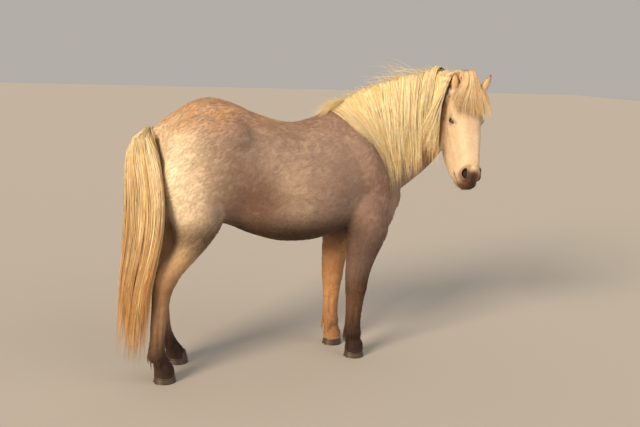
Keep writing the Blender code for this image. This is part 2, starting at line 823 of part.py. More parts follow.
# The tail: height, x and y of its middle, half its depth and width, how far its right side
# is turned ahead, in degrees
TAIL = (
    (1.278, -0.664, 0.000, 0.016, 0.026, 0),
    (1.255, -0.692, 0.000, 0.044, 0.058, 0),
    (1.200, -0.716, -0.018, 0.058, 0.096, 8),
    (1.100, -0.724, -0.050, 0.058, 0.132, 15),
    (0.960, -0.724, -0.080, 0.054, 0.148, 17),
    (0.800, -0.728, -0.086, 0.056, 0.150, 17),
    (0.650, -0.742, -0.080, 0.058, 0.142, 13),
    (0.500, -0.764, -0.070, 0.060, 0.134, 7),
    (0.300, -0.776, -0.068, 0.062, 0.132, 5),
    (0.150, -0.776, -0.066, 0.060, 0.124, 4),
    (0.040, -0.780, -0.060, 0.044, 0.090, 2),
)


# The core under the tail's hair: height, half its depth and width
TAIL_CORE = (
    (1.165, 0.030, 0.042),
    (1.080, 0.030, 0.050),
    (0.960, 0.028, 0.052),
    (0.840, 0.022, 0.044),
    (0.740, 0.008, 0.018),
)


def tail_point(height, turn, share):
    """A place in the tail at a height, a turn round its middle and a share of its half width."""
    rows = [(-row[0],) + row[1:] for row in TAIL]
    x, y, deep, wide, swing = [table_value(rows, -height, column) for column in (1, 2, 3, 4, 5)]
    swing = math.radians(swing)
    back, left = -deep * share * math.sin(turn), wide * share * math.cos(turn)
    across = back * math.cos(swing) - left * math.sin(swing)
    return Vector((x + across, y + back * math.sin(swing) + left * math.cos(swing), height))


def make_tail(finish):
    """The dock and a core under its hair, which reaches less than half way to the tips."""
    start = DOCK_CUT + DOCK_HEADING * GAP
    rise = Vector((-0.60, 0, 0.80))
    ribs = [Rib(start + rise * 0.029, start - rise * 0.029, 0.029)]
    second = start + DOCK_HEADING * 0.025
    ribs.append(Rib(second + rise * 0.031, second - rise * 0.029, 0.033))
    for height, deep, wide in TAIL_CORE:
        middle = tail_point(height, 0, 0)
        ribs.append(Rib(middle - Vector((deep, 0, 0)), middle + Vector((deep, 0, 0)), wide))
    form = bmesh.new()
    add_loft(form, ribs, sides=14, steps=2)
    return object_from("tail", form, finish)


# Rings of tail locks: how many, how far out, height of their roots and of their tips
TAIL_RINGS = ((10, 0.98, 1.250, 0.150), (8, 0.58, 1.120, 0.050))
TAIL_STEPS = 6


def tail_locks():
    """Long locks round the core, the outer ones shorter, down to just above the floor."""
    chance = random.Random(3)
    locks = []
    for ring, (count, share, top, foot) in enumerate(TAIL_RINGS):
        for k in range(count):
            turn = math.tau * (k + 0.5 * ring + chance.uniform(-0.08, 0.08)) / count
            start = top - chance.uniform(0.0, 0.05)
            end = foot + chance.uniform(0.0, 0.14)
            path, outs = [], []
            for j in range(TAIL_STEPS + 1):
                t = (j / TAIL_STEPS) ** 1.4
                height = start + (end - start) * t
                reach = 0.20 + (share - 0.20) * min(1.0, 10.0 * t) ** 0.7
                point = tail_point(height, turn + 0.06 * math.sin(2.2 * t + k), reach)
                path.append(point)
                outs.append((point - tail_point(height, 0, 0)).normalized())
            locks.append(lock_solid(path, outs, 0.360 / count * (0.6 + 0.4 * share), 0.010, 0.0))
    return locks


FEATHER_LOCKS = 3
FEATHER_ROOT = 0.190


def feather_locks(surface, foot, hind):
    """The tuft behind a fetlock, which ends above the heel."""
    chance = random.Random(int(1000 * (foot[0] + 2)))
    back = -0.060 if hind else -0.050
    locks = []
    for k in range(FEATHER_LOCKS):
        spread = -1 + 2 * (k + 0.5) / FEATHER_LOCKS
        root = Vector((foot[0] + back, foot[1] + 0.030 * spread, FEATHER_ROOT - 0.012 * abs(spread)))
        ways = [Vector((0.15 * j - 0.20, 0.15 * spread * (1 - 0.4 * j), -1.0)) for j in range(3)]
        length = chance.uniform(0.090, 0.105)
        path, outs = laid_path(surface, root, ways, length / 4, 0.005, 0.010)
        locks.append(lock_solid(path, outs, 0.0105, 0.006, chance.uniform(-0.3, 0.3)))
    return locks


def centre_on_floor(nodes):
    """Moves all nodes so that the middle of their box stands over the origin."""
    bpy.context.view_layer.update()
    corners = [vert.co for node in nodes for vert in node.data.vertices]
    shift = Vector((
        -(min(c.x for c in corners) + max(c.x for c in corners)) / 2,
        -(min(c.y for c in corners) + max(c.y for c in corners)) / 2,
        0.0,
    ))
    for node in nodes:
        node.data.transform(Matrix.Translation(shift))


def build():
    clear_scene()
    coats = {
        "head": material("head_coat", (0.75, 0.66, 0.54), 0.85),
        "neck": material("neck_coat", (0.62, 0.46, 0.35), 0.85),
        "torso": material("torso_coat", (0.56, 0.40, 0.29), 0.85),
        "leg": material("leg_coat", (0.42, 0.27, 0.17), 0.85),
        "tail": material("tail_hair", (0.83, 0.63, 0.38), 0.75),
        "hoof": material("hoof_horn", (0.08, 0.06, 0.05), 0.5),
        "eye": material("eye", (0.02, 0.015, 0.012), 0.1),
    }
    place = head_frame()
    form = bmesh.new()
    add_trunk(form)
    add_muscles(form)
    for word in ("right", "left"):
        add_foreleg(form, FEET["fore_" + word])
        add_hindleg(form, FEET["hind_" + word])
    add_neck(form)
    add_crest(form)
    add_head(form, place)
    add_dock(form)
    torso = object_from("torso", form, coats["torso"])
    fuse_skin(torso, place)
    whole = surface_of(torso)

    head = part_off(torso, "head", head_region(place))
    neck = part_off(torso, "neck", neck_region)
    legs = {}
    for place_word, foot in FEET.items():
        end, word = place_word.split("_")
        side = 1 if word == "left" else -1
        leg = part_off(torso, end + "leg_" + word, leg_region(side, *LEG_SPACE[end]))
        combine(leg, below_coronet(foot, GAP), "DIFFERENCE")
        legs[place_word] = leg

    turn = DOCK_HEADING.to_track_quat("Z", "Y").to_matrix().to_4x4()
    spot = Matrix.Translation(DOCK_CUT) @ turn

    def dock_end(ahead, left, up, grow):
        return spot @ Vector((0.06 if ahead else -0.06, 0.06 if left else -0.06, 0.08 if up else 0.0))

    combine(torso, region(dock_end, 0.0), "DIFFERENCE")
    keep_largest(torso)

    for side in (-1, 1):
        flatten_ear_seat(head, side, place)
    open_face(head, place)
    ears = []
    nodes = [torso, head, neck, *legs.values()]
    for side, word in ((-1, "right"), (1, "left")):
        ears.append(make_ear("ear_" + word, side, place, coats["head"]))
        eye = solid_ball(mirrored(EYE, side), [EYE_RADIUS] * 3, place=place)
        eye.name = "eye_" + word
        eye.data.materials.append(coats["eye"])
        nodes.append(eye)
    for word, foot in FEET.items():
        nodes.append(make_hoof("hoof_" + word, foot, coats["hoof"]))
    tail = make_tail(coats["tail"])
    nodes += [*ears, tail]

    fuse(neck, mane_locks(whole))
    fuse(head, forelock_locks(whole, place))
    combine(head, region(head_region(place), CLEARANCE / 4), "INTERSECT")
    fuse(tail, tail_locks())
    for word, leg in legs.items():
        fuse(leg, feather_locks(whole, FEET[word], word.startswith("hind")))
    keep_clear(head, *ears)
    combine(neck, region(head_region(place), CLEARANCE), "DIFFERENCE")
    keep_clear(neck, head, *ears, torso, legs["fore_right"])
    keep_clear(tail, torso, legs["hind_right"], legs["hind_left"])
    head.data.materials[0] = coats["head"]
    neck.data.materials[0] = coats["neck"]
    for leg in legs.values():
        leg.data.materials[0] = coats["leg"]
    for node in nodes:
        node.data.shade_smooth()
        node.data.set_sharp_from_angle(angle=math.radians(50))
    centre_on_floor(nodes)


build()
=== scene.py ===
"""The looks of the standing Icelandic horse: one skin under a coat of tufts, with mane, forelock,
tail and feathers of fine locks, eyes, hooves, a pale floor and the photo's camera.

The body's sizes are the solids' own, in metres, before these were centred on the origin. SHIFT is
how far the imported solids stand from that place, read from a hoof.
"""

import math
import random
from collections import namedtuple

import bmesh
import bpy
import numpy as np
from mathutils import Matrix, Vector
from mathutils.bvhtree import BVHTree


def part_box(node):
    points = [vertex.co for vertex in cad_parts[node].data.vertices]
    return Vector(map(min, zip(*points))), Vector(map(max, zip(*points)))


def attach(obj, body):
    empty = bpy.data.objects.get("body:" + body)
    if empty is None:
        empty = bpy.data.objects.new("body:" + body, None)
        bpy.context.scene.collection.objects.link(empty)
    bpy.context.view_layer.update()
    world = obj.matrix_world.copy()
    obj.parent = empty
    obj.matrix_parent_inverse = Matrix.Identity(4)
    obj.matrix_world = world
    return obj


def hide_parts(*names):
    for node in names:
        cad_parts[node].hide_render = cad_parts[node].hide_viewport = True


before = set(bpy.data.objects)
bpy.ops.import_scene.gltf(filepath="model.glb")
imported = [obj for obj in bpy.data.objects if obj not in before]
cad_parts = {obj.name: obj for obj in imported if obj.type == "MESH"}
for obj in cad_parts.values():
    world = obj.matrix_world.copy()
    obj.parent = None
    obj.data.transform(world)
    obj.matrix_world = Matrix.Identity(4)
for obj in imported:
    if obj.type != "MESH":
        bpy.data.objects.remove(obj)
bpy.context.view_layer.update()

# Where the feet stand, before the part is centred: x and y of the middle of each hoof
FEET = {
    "fore_right": (0.450, -0.124),
    "fore_left": (0.432, 0.105),
    "hind_right": (-0.632, -0.120),
    "hind_left": (-0.492, 0.118),
}
SOLE = (0.064, -0.052)


def solids_shift():
    """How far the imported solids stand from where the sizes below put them."""
    low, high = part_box("hoof_fore_right")
    foot = FEET["fore_right"]
    return Vector(((low.x + high.x) / 2 - foot[0] - sum(SOLE) / 2, (low.y + high.y) / 2 - foot[1], 0.0))


SHIFT = solids_shift()

# Main heights and lengths of the animal
WITHERS = 1.380
CROUP = 1.418
BACK = 1.296
BELLY = 0.660
GIRTH = 0.695
BUTTOCK_X = -0.662
BREAST_X = 0.736
BARREL_HALF = 0.290

# The head: where the poll is, which way the nose points, the slope of the face and its lean
POLL = Vector((0.932, -0.362, 1.524))
HEAD_HEADING = math.radians(-95)
FACE_SLOPE = math.radians(71)
HEAD_LEAN = math.radians(-2.5)

Rib = namedtuple("Rib", "top low half waist crown keel", defaults=(0.5, 2.0, 2.0))


def colour(code):
    """Linear RGB from an sRGB hex code."""
    values = [int(code[k:k + 2], 16) / 255 for k in (1, 3, 5)]
    return np.array([v / 12.92 if v <= 0.04045 else ((v + 0.055) / 1.055) ** 2.4 for v in values])


def add_node(tree, kind, settings=None, **inputs):
    """Adds a shader node; inputs are values or the sockets that feed them."""
    node = tree.nodes.new(kind)
    for key, value in (settings or {}).items():
        setattr(node, key, value)
    for key, value in inputs.items():
        socket = node.inputs[int(key[1:])] if key[0] == "_" else node.inputs[key.replace("_", " ")]
        if isinstance(value, bpy.types.NodeSocket):
            tree.links.new(value, socket)
        else:
            socket.default_value = value
    return node


def link_object(name, mesh, finish, replaced=()):
    """A finished piece that rides on the model's one body."""
    piece = bpy.data.objects.new(name, mesh)
    bpy.context.scene.collection.objects.link(piece)
    mesh.materials.clear()
    mesh.materials.append(finish)
    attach(piece, "root")
    if replaced:
        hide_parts(*replaced)
    return piece


def mesh_from_form(name, form):
    form.normal_update()
    bmesh.ops.recalc_face_normals(form, faces=form.faces)
    mesh = bpy.data.meshes.new(name)
    form.to_mesh(mesh)
    form.free()
    return mesh


def apply_modifiers(thing):
    """Replaces the object's mesh by the one that its modifiers make."""
    bpy.context.view_layer.update()
    graph = bpy.context.evaluated_depsgraph_get()
    shaped = bpy.data.meshes.new_from_object(thing.evaluated_get(graph))
    thing.modifiers.clear()
    thing.data = shaped


def mesh_points(mesh):
    points = np.empty(len(mesh.vertices) * 3)
    mesh.vertices.foreach_get("co", points)
    return points.reshape(-1, 3)


def mesh_normals(mesh):
    normals = np.empty(len(mesh.vertices) * 3, np.float32)
    mesh.vertex_normals.foreach_get("vector", normals)
    return normals.reshape(-1, 3).astype(float)


def move_points(mesh, points):
    mesh.vertices.foreach_set("co", np.ascontiguousarray(points, np.float32).ravel())
    mesh.update()


def unit(vectors):
    return vectors / np.maximum(np.linalg.norm(vectors, axis=-1, keepdims=True), 1e-9)


def ramp(values, low, high):
    """0 below low, 1 above high, smooth between them; low may be the larger one."""
    t = np.clip((values - low) / (high - low), 0, 1)
    return t * t * (3 - 2 * t)


def bell(values, width):
    return np.exp(-((values / width) ** 2))


def lattice(cells, seed):
    """A random number from 0 to 1 for each cell of a lattice."""
    cells = cells.astype(np.int64)
    mixed = cells[..., 0] * 73856093 ^ cells[..., 1] * 19349663 ^ cells[..., 2] * 83492791 ^ seed * 2654435761
    mixed = (mixed ^ (mixed >> 13)) * 1274126177
    return ((mixed ^ (mixed >> 16)) & 0xFFFFFF) / 0xFFFFFF


def value_noise(points, size, seed):
    """Smooth noise from 0 to 1 with lumps of the given size."""
    scaled = points / size
    cell = np.floor(scaled)
    part = scaled - cell
    part = part * part * (3 - 2 * part)
    total = 0.0
    for corner in np.ndindex(2, 2, 2):
        corner = np.array(corner)
        weight = np.prod(np.where(corner == 1, part, 1 - part), axis=-1)
        total = total + weight * lattice(cell + corner, seed)
    return total


def cell_noise(points, size, seed):
    """How near each point is to the middle of its cell: 1 in the middle, 0 at the edge."""
    scaled = points / size
    cell = np.floor(scaled)
    nearest = np.full(len(points), 9.0)
    second = np.full(len(points), 9.0)
    for corner in np.ndindex(3, 3, 3):
        other = cell + np.array(corner) - 1
        middle = other + np.stack([lattice(other, seed + k) for k in range(3)], axis=-1)
        away = np.linalg.norm(scaled - middle, axis=-1)
        second = np.minimum(second, np.maximum(nearest, away))
        nearest = np.minimum(nearest, away)
    return np.clip((second - nearest) / 0.6, 0, 1)


def smooth_through(values, steps):
    """Values between the given ones, on a Catmull-Rom curve."""
    result = []
    last = len(values) - 1
    for k in range(last):
        before = values[max(k - 1, 0)]
        start, end = values[k], values[k + 1]
        after = values[min(k + 2, last)]
        for step in range(steps):
            t = step / steps
            linear = end - before
            square = 2 * before - 5 * start + 4 * end - after
            cube = 3 * start - before - 3 * end + after
            result.append(start + 0.5 * (linear * t + square * t**2 + cube * t**3))
    result.append(values[last])
    return result


def table_value(table, share, column):
    """A column of a table, read between the rows by their first column."""
    for low, high in zip(table, table[1:]):
        if share <= high[0]:
            t = max((share - low[0]) / (high[0] - low[0]), 0.0)
            return low[column] + (high[column] - low[column]) * t
    return table[-1][column]


def add_rings(form, rings):
    """Adds a closed tube through the rings, each a list of the same number of points."""
    loops = []
    for k, points in enumerate(rings):
        ends = k in (0, len(rings) - 1)
        ring = bmesh.ops.create_circle(form, segments=len(points), radius=1.0, cap_ends=ends)["verts"]
        for vert, point in zip(ring, points):
            vert.co = point
        loops.append([edge for edge in {e for v in ring for e in v.link_edges}])
    for first, second in zip(loops, loops[1:]):
        bmesh.ops.bridge_loops(form, edges=first + second)


def signed_power(value, power):
    return math.copysign(abs(value) ** power, value)


def rib_ring(rib, along, sides, place):
    """Points round a rib: a rounded section from its top to its low point."""
    up = (rib.top - rib.low).normalized()
    side = along.cross(up).normalized()
    middle = rib.low.lerp(rib.top, rib.waist)
    above, below = (rib.top - middle).length, (middle - rib.low).length
    points = []
    for k in range(sides):
        turn = math.tau * k / sides
        across, height = math.cos(turn), math.sin(turn)
        power = 2 / (rib.crown if height > 0 else rib.keel)
        reach = above if height > 0 else below
        out = side * rib.half * signed_power(across, power)
        points.append(place @ (middle + out + up * reach * signed_power(height, power)))
    return points


def add_loft(form, ribs, sides=20, steps=3, place=Matrix.Identity(4)):
    """Adds a closed tube whose cross sections are the ribs, in the order given."""
    columns = [smooth_through([getattr(rib, part) for rib in ribs], steps) for part in Rib._fields]
    fine = [Rib(*row) for row in zip(*columns)]
    middles = [rib.low.lerp(rib.top, rib.waist) for rib in fine]
    last = len(fine) - 1
    rings = []
    for k, rib in enumerate(fine):
        along = middles[min(k + 1, last)] - middles[max(k - 1, 0)]
        rings.append(rib_ring(rib, along, sides, place))
    add_rings(form, rings)


def add_ball(form, centre, radii, turn=Matrix.Identity(4), place=Matrix.Identity(4), detail=3):
    """Adds an ellipsoid with its own three radii, turned about its centre."""
    shape = place @ Matrix.Translation(centre) @ turn @ Matrix.Diagonal((*radii, 1.0))
    bmesh.ops.create_icosphere(form, subdivisions=detail, radius=1.0, matrix=shape)


# The trunk: x and height of each rib's top, of its foot, half width, height of its widest
# line, and how full its upper and lower halves are
TRUNK = (
    (BUTTOCK_X + 0.012, 1.170, BUTTOCK_X + 0.010, 1.000, 0.085, 0.50, 2.0, 2.0),
    (-0.630, 1.245, -0.632, 0.920, 0.165, 0.50, 2.0, 2.0),
    (-0.570, 1.318, -0.570, 0.850, 0.220, 0.50, 2.0, 2.0),
    (-0.485, 1.384, -0.485, 0.805, 0.252, 0.50, 1.9, 2.1),
    (-0.385, CROUP, -0.385, 0.785, 0.266, 0.50, 1.9, 2.1),
    (-0.275, 1.400, -0.275, 0.765, 0.266, 0.50, 1.9, 2.1),
    (-0.150, 1.350, -0.150, 0.712, 0.270, 0.46, 2.0, 2.1),
    (-0.020, 1.310, -0.020, 0.672, 0.284, 0.44, 2.0, 2.1),
    (0.100, BACK, 0.100, BELLY, BARREL_HALF, 0.44, 2.0, 2.1),
    (0.215, 1.326, 0.220, 0.666, 0.278, 0.44, 1.8, 2.1),
    (0.325, WITHERS - 0.004, 0.330, GIRTH, 0.250, 0.44, 1.6, 2.1),
    (0.430, WITHERS - 0.004, 0.450, 0.725, 0.224, 0.46, 1.6, 2.1),
    (0.535, 1.315, 0.575, 0.762, 0.200, 0.48, 1.8, 2.1),
    (0.625, 1.200, 0.672, 0.792, 0.168, 0.50, 2.0, 2.0),
    (0.690, 1.070, BREAST_X - 0.018, 0.830, 0.122, 0.50, 2.0, 2.0),
    (0.718, 0.990, BREAST_X, 0.875, 0.070, 0.50, 2.0, 2.0),
)


def add_trunk(form):
    ribs = [
        Rib(Vector((xt, 0, zt)), Vector((xl, 0, zl)), half, waist, crown, keel)
        for xt, zt, xl, zl, half, waist, crown, keel in TRUNK
    ]
    add_loft(form, ribs, sides=28)


def add_muscles(form):
    """The masses that stand out of the trunk: shoulder, arm, breast, croup and hip."""
    lean = Matrix.Rotation(math.radians(-32), 4, "Y")
    for side in (-1, 1):
        add_ball(form, (0.475, side * 0.128, 1.045), (0.120, 0.100, 0.255), lean)
        add_ball(form, (0.480, side * 0.140, 0.850), (0.150, 0.090, 0.145))
        add_ball(form, (0.610, side * 0.085, 0.900), (0.105, 0.098, 0.130))
        add_ball(form, (0.585, side * 0.100, 0.830), (0.095, 0.082, 0.130))
        add_ball(form, (-0.440, side * 0.130, 1.150), (0.205, 0.128, 0.200))
        add_ball(form, (-0.330, side * 0.140, 1.210), (0.150, 0.120, 0.125))


# Foreleg: height, middle of the leg ahead of the hoof's middle, half its length and width
FORELEG = (
    (0.900, 0.000, 0.120, 0.070),
    (0.800, 0.028, 0.130, 0.084),
    (0.720, 0.040, 0.126, 0.086),
    (0.650, 0.030, 0.108, 0.080),
    (0.580, 0.014, 0.090, 0.071),
    (0.510, 0.000, 0.076, 0.063),
    (0.445, -0.006, 0.068, 0.056),
    (0.380, -0.008, 0.060, 0.052),
    (0.330, -0.010, 0.053, 0.047),
    (0.250, -0.012, 0.047, 0.041),
    (0.185, -0.013, 0.047, 0.040),
    (0.140, -0.010, 0.050, 0.044),
    (0.105, -0.002, 0.045, 0.042),
    (0.075, 0.004, 0.050, 0.048),
    (0.030, 0.006, 0.054, 0.052),
)
ELBOW = (0.450, 0.150, 0.800)


def add_foreleg(form, foot):
    """One foreleg, from inside the shoulder down into the hoof."""
    side = math.copysign(1, foot[1])
    ribs = []
    for height, ahead, length, half in FORELEG:
        rise = min(height / ELBOW[2], 1.1)
        x = foot[0] + (ELBOW[0] - foot[0]) * rise + ahead
        y = foot[1] + (side * ELBOW[1] - foot[1]) * rise
        ribs.append(Rib(Vector((x + length, y, height)), Vector((x - length, y, height)), half))
    add_loft(form, ribs, sides=16)


# Hind leg: x and height of its front, x and height of its back, half its width
HINDLEG = (
    (-0.350, 1.090, -0.640, 1.130, 0.085),
    (-0.325, 0.960, -0.658, 1.040, 0.108),
    (-0.328, 0.860, -0.645, 0.950, 0.112),
    (-0.350, 0.785, -0.622, 0.860, 0.104),
    (-0.392, 0.720, -0.598, 0.778, 0.086),
    (-0.440, 0.665, -0.598, 0.712, 0.072),
    (-0.492, 0.610, -0.632, 0.648, 0.061),
    (-0.540, 0.560, -0.672, 0.592, 0.054),
    (-0.574, 0.508, -0.694, 0.542, 0.049),
    (-0.596, 0.460, -0.696, 0.486, 0.045),
    (-0.609, 0.400, -0.698, 0.415, 0.041),
    (-0.622, 0.310, -0.702, 0.318, 0.037),
    (-0.630, 0.210, -0.707, 0.212, 0.037),
    (-0.618, 0.145, -0.714, 0.140, 0.043),
    (-0.596, 0.105, -0.690, 0.100, 0.041),
    (-0.582, 0.075, -0.680, 0.072, 0.048),
    (-0.574, 0.030, -0.682, 0.030, 0.053),
)
HIP = (0.138, 0.90)


def add_hindleg(form, foot):
    """One hind leg, from inside the croup down into the hoof."""
    side = math.copysign(1, foot[1])
    ribs = []
    for front, front_height, back, back_height, half in HINDLEG:
        points = []
        for x, height in ((front, front_height), (back, back_height)):
            rise = min(height / HIP[1], 1.0)
            ahead = (foot[0] - FEET["hind_right"][0]) * (1 - rise)
            y = foot[1] + (side * HIP[0] - foot[1]) * rise
            points.append(Vector((x + ahead, y, height)))
        ribs.append(Rib(points[0], points[1], half))
    add_loft(form, ribs, sides=18)


# The neck: share of its length, the crest's x, y, z, the throat's x, y, z and half width
NECK = (
    (0.0, 0.300, 0.000, 1.352, 0.620, 0.000, 0.830, 0.150),
    (0.2, 0.420, 0.000, 1.396, 0.690, -0.020, 0.880, 0.142),
    (0.4, 0.550, -0.020, 1.446, 0.750, -0.075, 0.940, 0.128),
    (0.6, 0.680, -0.085, 1.494, 0.792, -0.150, 1.015, 0.114),
    (0.8, 0.795, -0.190, 1.530, 0.816, -0.235, 1.100, 0.100),
    (1.0, 0.885, -0.305, 1.524, 0.840, -0.310, 1.205, 0.078),
)


def crest_point(share):
    return Vector([table_value(NECK, share, column) for column in (1, 2, 3)])


def crest_heading(share):
    """The way the crest runs at a share of its length."""
    return (crest_point(min(share + 0.1, 1.0)) - crest_point(max(share - 0.1, 0.0))).normalized()


def add_neck(form):
    ribs = [
        Rib(Vector(row[1:4]), Vector(row[4:7]), row[7], 0.46, 1.7, 2.1)
        for row in NECK
    ]
    add_loft(form, ribs, sides=24, steps=4)


def add_crest(form):
    """The ridge of hair roots along the crest, thicker towards the poll."""
    ribs = []
    for k in range(8):
        share = 0.04 + 0.94 * k / 7
        high = 0.010 + 0.044 * min(1.0, share / 0.22) + 0.050 * max(0.0, share - 0.7)
        top = crest_point(share) + Vector((0, 0, high))
        ribs.append(Rib(top, top - Vector((0, 0, 0.075)), 0.020 + 0.016 * share))
    add_loft(form, ribs, sides=12, steps=2)


def head_frame():
    """Turns head sizes to places: x runs down the face, y to the horse's left, z off the brow."""
    flat = Vector((math.cos(HEAD_HEADING), math.sin(HEAD_HEADING), 0))
    down = flat * math.cos(FACE_SLOPE) - Vector((0, 0, math.sin(FACE_SLOPE)))
    out = flat * math.sin(FACE_SLOPE) + Vector((0, 0, math.cos(FACE_SLOPE)))
    left = Vector((0, 0, 1)).cross(flat)
    turn = Matrix((down, left, out)).transposed().to_4x4()
    return Matrix.Translation(POLL) @ Matrix.Rotation(HEAD_LEAN, 4, flat) @ turn


# The skull: distance down the face, its front, its underside, half width, widest line
SKULL = (
    (-0.038, -0.040, -0.150, 0.050, 0.55, 2.0, 2.0),
    (0.000, -0.006, -0.190, 0.066, 0.58, 2.1, 2.0),
    (0.054, 0.010, -0.228, 0.082, 0.62, 2.3, 1.9),
    (0.117, 0.014, -0.254, 0.090, 0.64, 2.5, 1.9),
    (0.176, 0.012, -0.272, 0.090, 0.64, 2.6, 1.9),
    (0.234, 0.006, -0.276, 0.084, 0.61, 2.9, 1.9),
    (0.297, 0.000, -0.272, 0.080, 0.54, 3.3, 1.8),
    (0.360, -0.003, -0.258, 0.072, 0.52, 3.2, 1.9),
    (0.414, -0.004, -0.230, 0.065, 0.50, 3.0, 2.0),
    (0.468, -0.006, -0.194, 0.058, 0.50, 2.6, 2.2),
    (0.513, -0.026, -0.152, 0.046, 0.54, 2.2, 2.1),
    (0.541, -0.055, -0.118, 0.028, 0.50, 2.0, 2.0),
)

# Places on the head: down the face, out to the left, off the brow
EYE = (0.186, 0.082, -0.056)
EYE_RADIUS = 0.0185
NOSTRIL = (0.462, 0.044, -0.040)
EAR_BASE = {-1: (0.038, -0.084, -0.022), 1: (0.032, 0.074, -0.016)}
EAR_TIP = {-1: (-0.056, -0.099, 0.020), 1: (-0.067, 0.128, 0.024)}
EAR_OPEN = {-1: (-0.10, -0.25, -0.96), 1: (-0.10, -0.45, -0.88)}
MOUTH_V = -0.100


def mirrored(point, side):
    return Vector((point[0], side * point[1], point[2]))


def add_head(form, place):
    ribs = [
        Rib(Vector((s, 0, front)), Vector((s, 0, back)), half, waist, crown, keel)
        for s, front, back, half, waist, crown, keel in SKULL
    ]
    add_loft(form, ribs, sides=24, place=place)
    for side in (-1, 1):
        cheek = Matrix.Rotation(math.radians(18), 4, "Y")
        add_ball(form, (0.170, side * 0.044, -0.172), (0.104, 0.044, 0.094), cheek, place)
        add_ball(form, (0.170, side * 0.069, -0.042), (0.046, 0.026, 0.032), place=place)
        add_ball(form, mirrored(EYE, side) - Vector((0, side * 0.006, 0)), (0.032, 0.022, 0.026), place=place)
        ridge = Matrix.Rotation(side * math.radians(-8), 4, "Z")
        add_ball(form, (0.285, side * 0.062, -0.092), (0.090, 0.013, 0.016), ridge, place)
        add_ball(form, (0.466, side * 0.039, -0.040), (0.042, 0.022, 0.034), place=place)
        add_ball(form, EAR_BASE[side], (0.034, 0.026, 0.028), place=place)
    add_ball(form, (-0.010, 0, -0.002), (0.050, 0.044, 0.030), place=place)
    add_ball(form, (-0.046, 0, -0.022), (0.042, 0.042, 0.056), place=place)
    add_ball(form, (-0.048, -0.034, -0.040), (0.044, 0.048, 0.055), place=place)
    add_ball(form, (0.515, 0, -0.070), (0.034, 0.046, 0.036), place=place)
    add_ball(form, (0.490, 0, -0.146), (0.038, 0.033, 0.026), place=place)


DOCK = (
    (-0.560, 1.262, 0.040),
    (-0.630, 1.246, 0.037),
    (-0.680, 1.222, 0.034),
    (-0.712, 1.192, 0.031),
)
DOCK_CUT = Vector((-0.684, 0, 1.220))
DOCK_HEADING = Vector((-0.80, 0, -0.60))


def add_dock(form):
    """The root of the tail, where it leaves the croup."""
    rise = Vector((-0.45, 0, 0.89))
    ribs = [Rib(Vector((x, 0, z)) + rise * r, Vector((x, 0, z)) - rise * r, r) for x, z, r in DOCK]
    add_loft(form, ribs, sides=14)


# The ear: share of its length, half its width, its depth and how hollow its front is
EAR = (
    (-0.10, 0.020, 0.020, 0.0),
    (0.20, 0.026, 0.024, -0.20),
    (0.38, 0.0295, 0.025, -0.62),
    (0.58, 0.0275, 0.021, -0.66),
    (0.78, 0.0195, 0.014, -0.58),
    (0.92, 0.0095, 0.007, -0.38),
    (1.0, 0.0025, 0.003, 0.1),
)
EAR_SIDES = 20


EAR_RIM = 0.0022


def ear_axes(side):
    """An ear's base, the way to its tip, the way it opens and the way across it."""
    base, tip = Vector(EAR_BASE[side]), Vector(EAR_TIP[side])
    along = (tip - base).normalized()
    out = Vector(EAR_OPEN[side]).normalized()
    open_way = (out - along * out.dot(along)).normalized()
    return base, along, open_way, along.cross(open_way)


def ear_rings(side, place):
    """Rings of a whole ear, from inside the head to its tip, hollow on one side, with a round rim."""
    base, along, open_way, across = ear_axes(side)
    length = (Vector(EAR_TIP[side]) - base).length
    rings = []
    for share, half, deep, hollow in EAR:
        middle = base + along * length * share
        ring = []
        for k in range(EAR_SIDES):
            turn = math.tau * k / EAR_SIDES
            front = math.sin(turn)
            depth = deep * front * (hollow if hollow and front > 0 else 1.0)
            depth += EAR_RIM * math.copysign(math.sqrt(abs(front)), front)
            ring.append(place @ (middle + across * half * math.cos(turn) + open_way * depth))
        rings.append(ring)
    return rings


def inside_ear(local, side):
    """1 on the hollow side of an ear and 0 on its back."""
    base, along, open_way, across = (np.array(v) for v in ear_axes(side))
    length = np.linalg.norm(np.array(EAR_TIP[side]) - base)
    away = local - base
    share = away @ along / length
    half = np.interp(share, [row[0] for row in EAR], [row[1] for row in EAR])
    deep = np.interp(share, [row[0] for row in EAR], [row[2] for row in EAR])
    round_off = np.sqrt(np.clip(1 - (away @ across / half) ** 2, 0.04, 1))
    near = (np.linalg.norm(away - share[:, None] * length * along, axis=-1) < 0.05) & (share > 0.15) & (share < 1)
    return near * ramp(away @ open_way / (deep * round_off), -0.90, -0.72)


PLACE = head_frame()
TO_HEAD = np.array(PLACE.inverted())
FROM_HEAD = np.array(PLACE)


def head_points(points):
    """World places as places on the head: down the face, to the left, off the brow."""
    return points @ TO_HEAD[:3, :3].T + TO_HEAD[:3, 3]


def near_head(points):
    """1 on the head, fading to 0 over its join with the neck."""
    away = np.linalg.norm(head_points(points) - np.array((0.25, 0, -0.1)), axis=-1)
    return 1 - ramp(away, 0.30, 0.42)


# Grain of the skin, how many faces it keeps, and how deep the coat is over it
SKIN_GRAIN = 0.0036
SKIN_FACES = 150000
HEAD_DETAIL = 2e-6
COAT_DEPTH = {"body": 0.0060, "leg": 0.0030, "head": 0.0014}


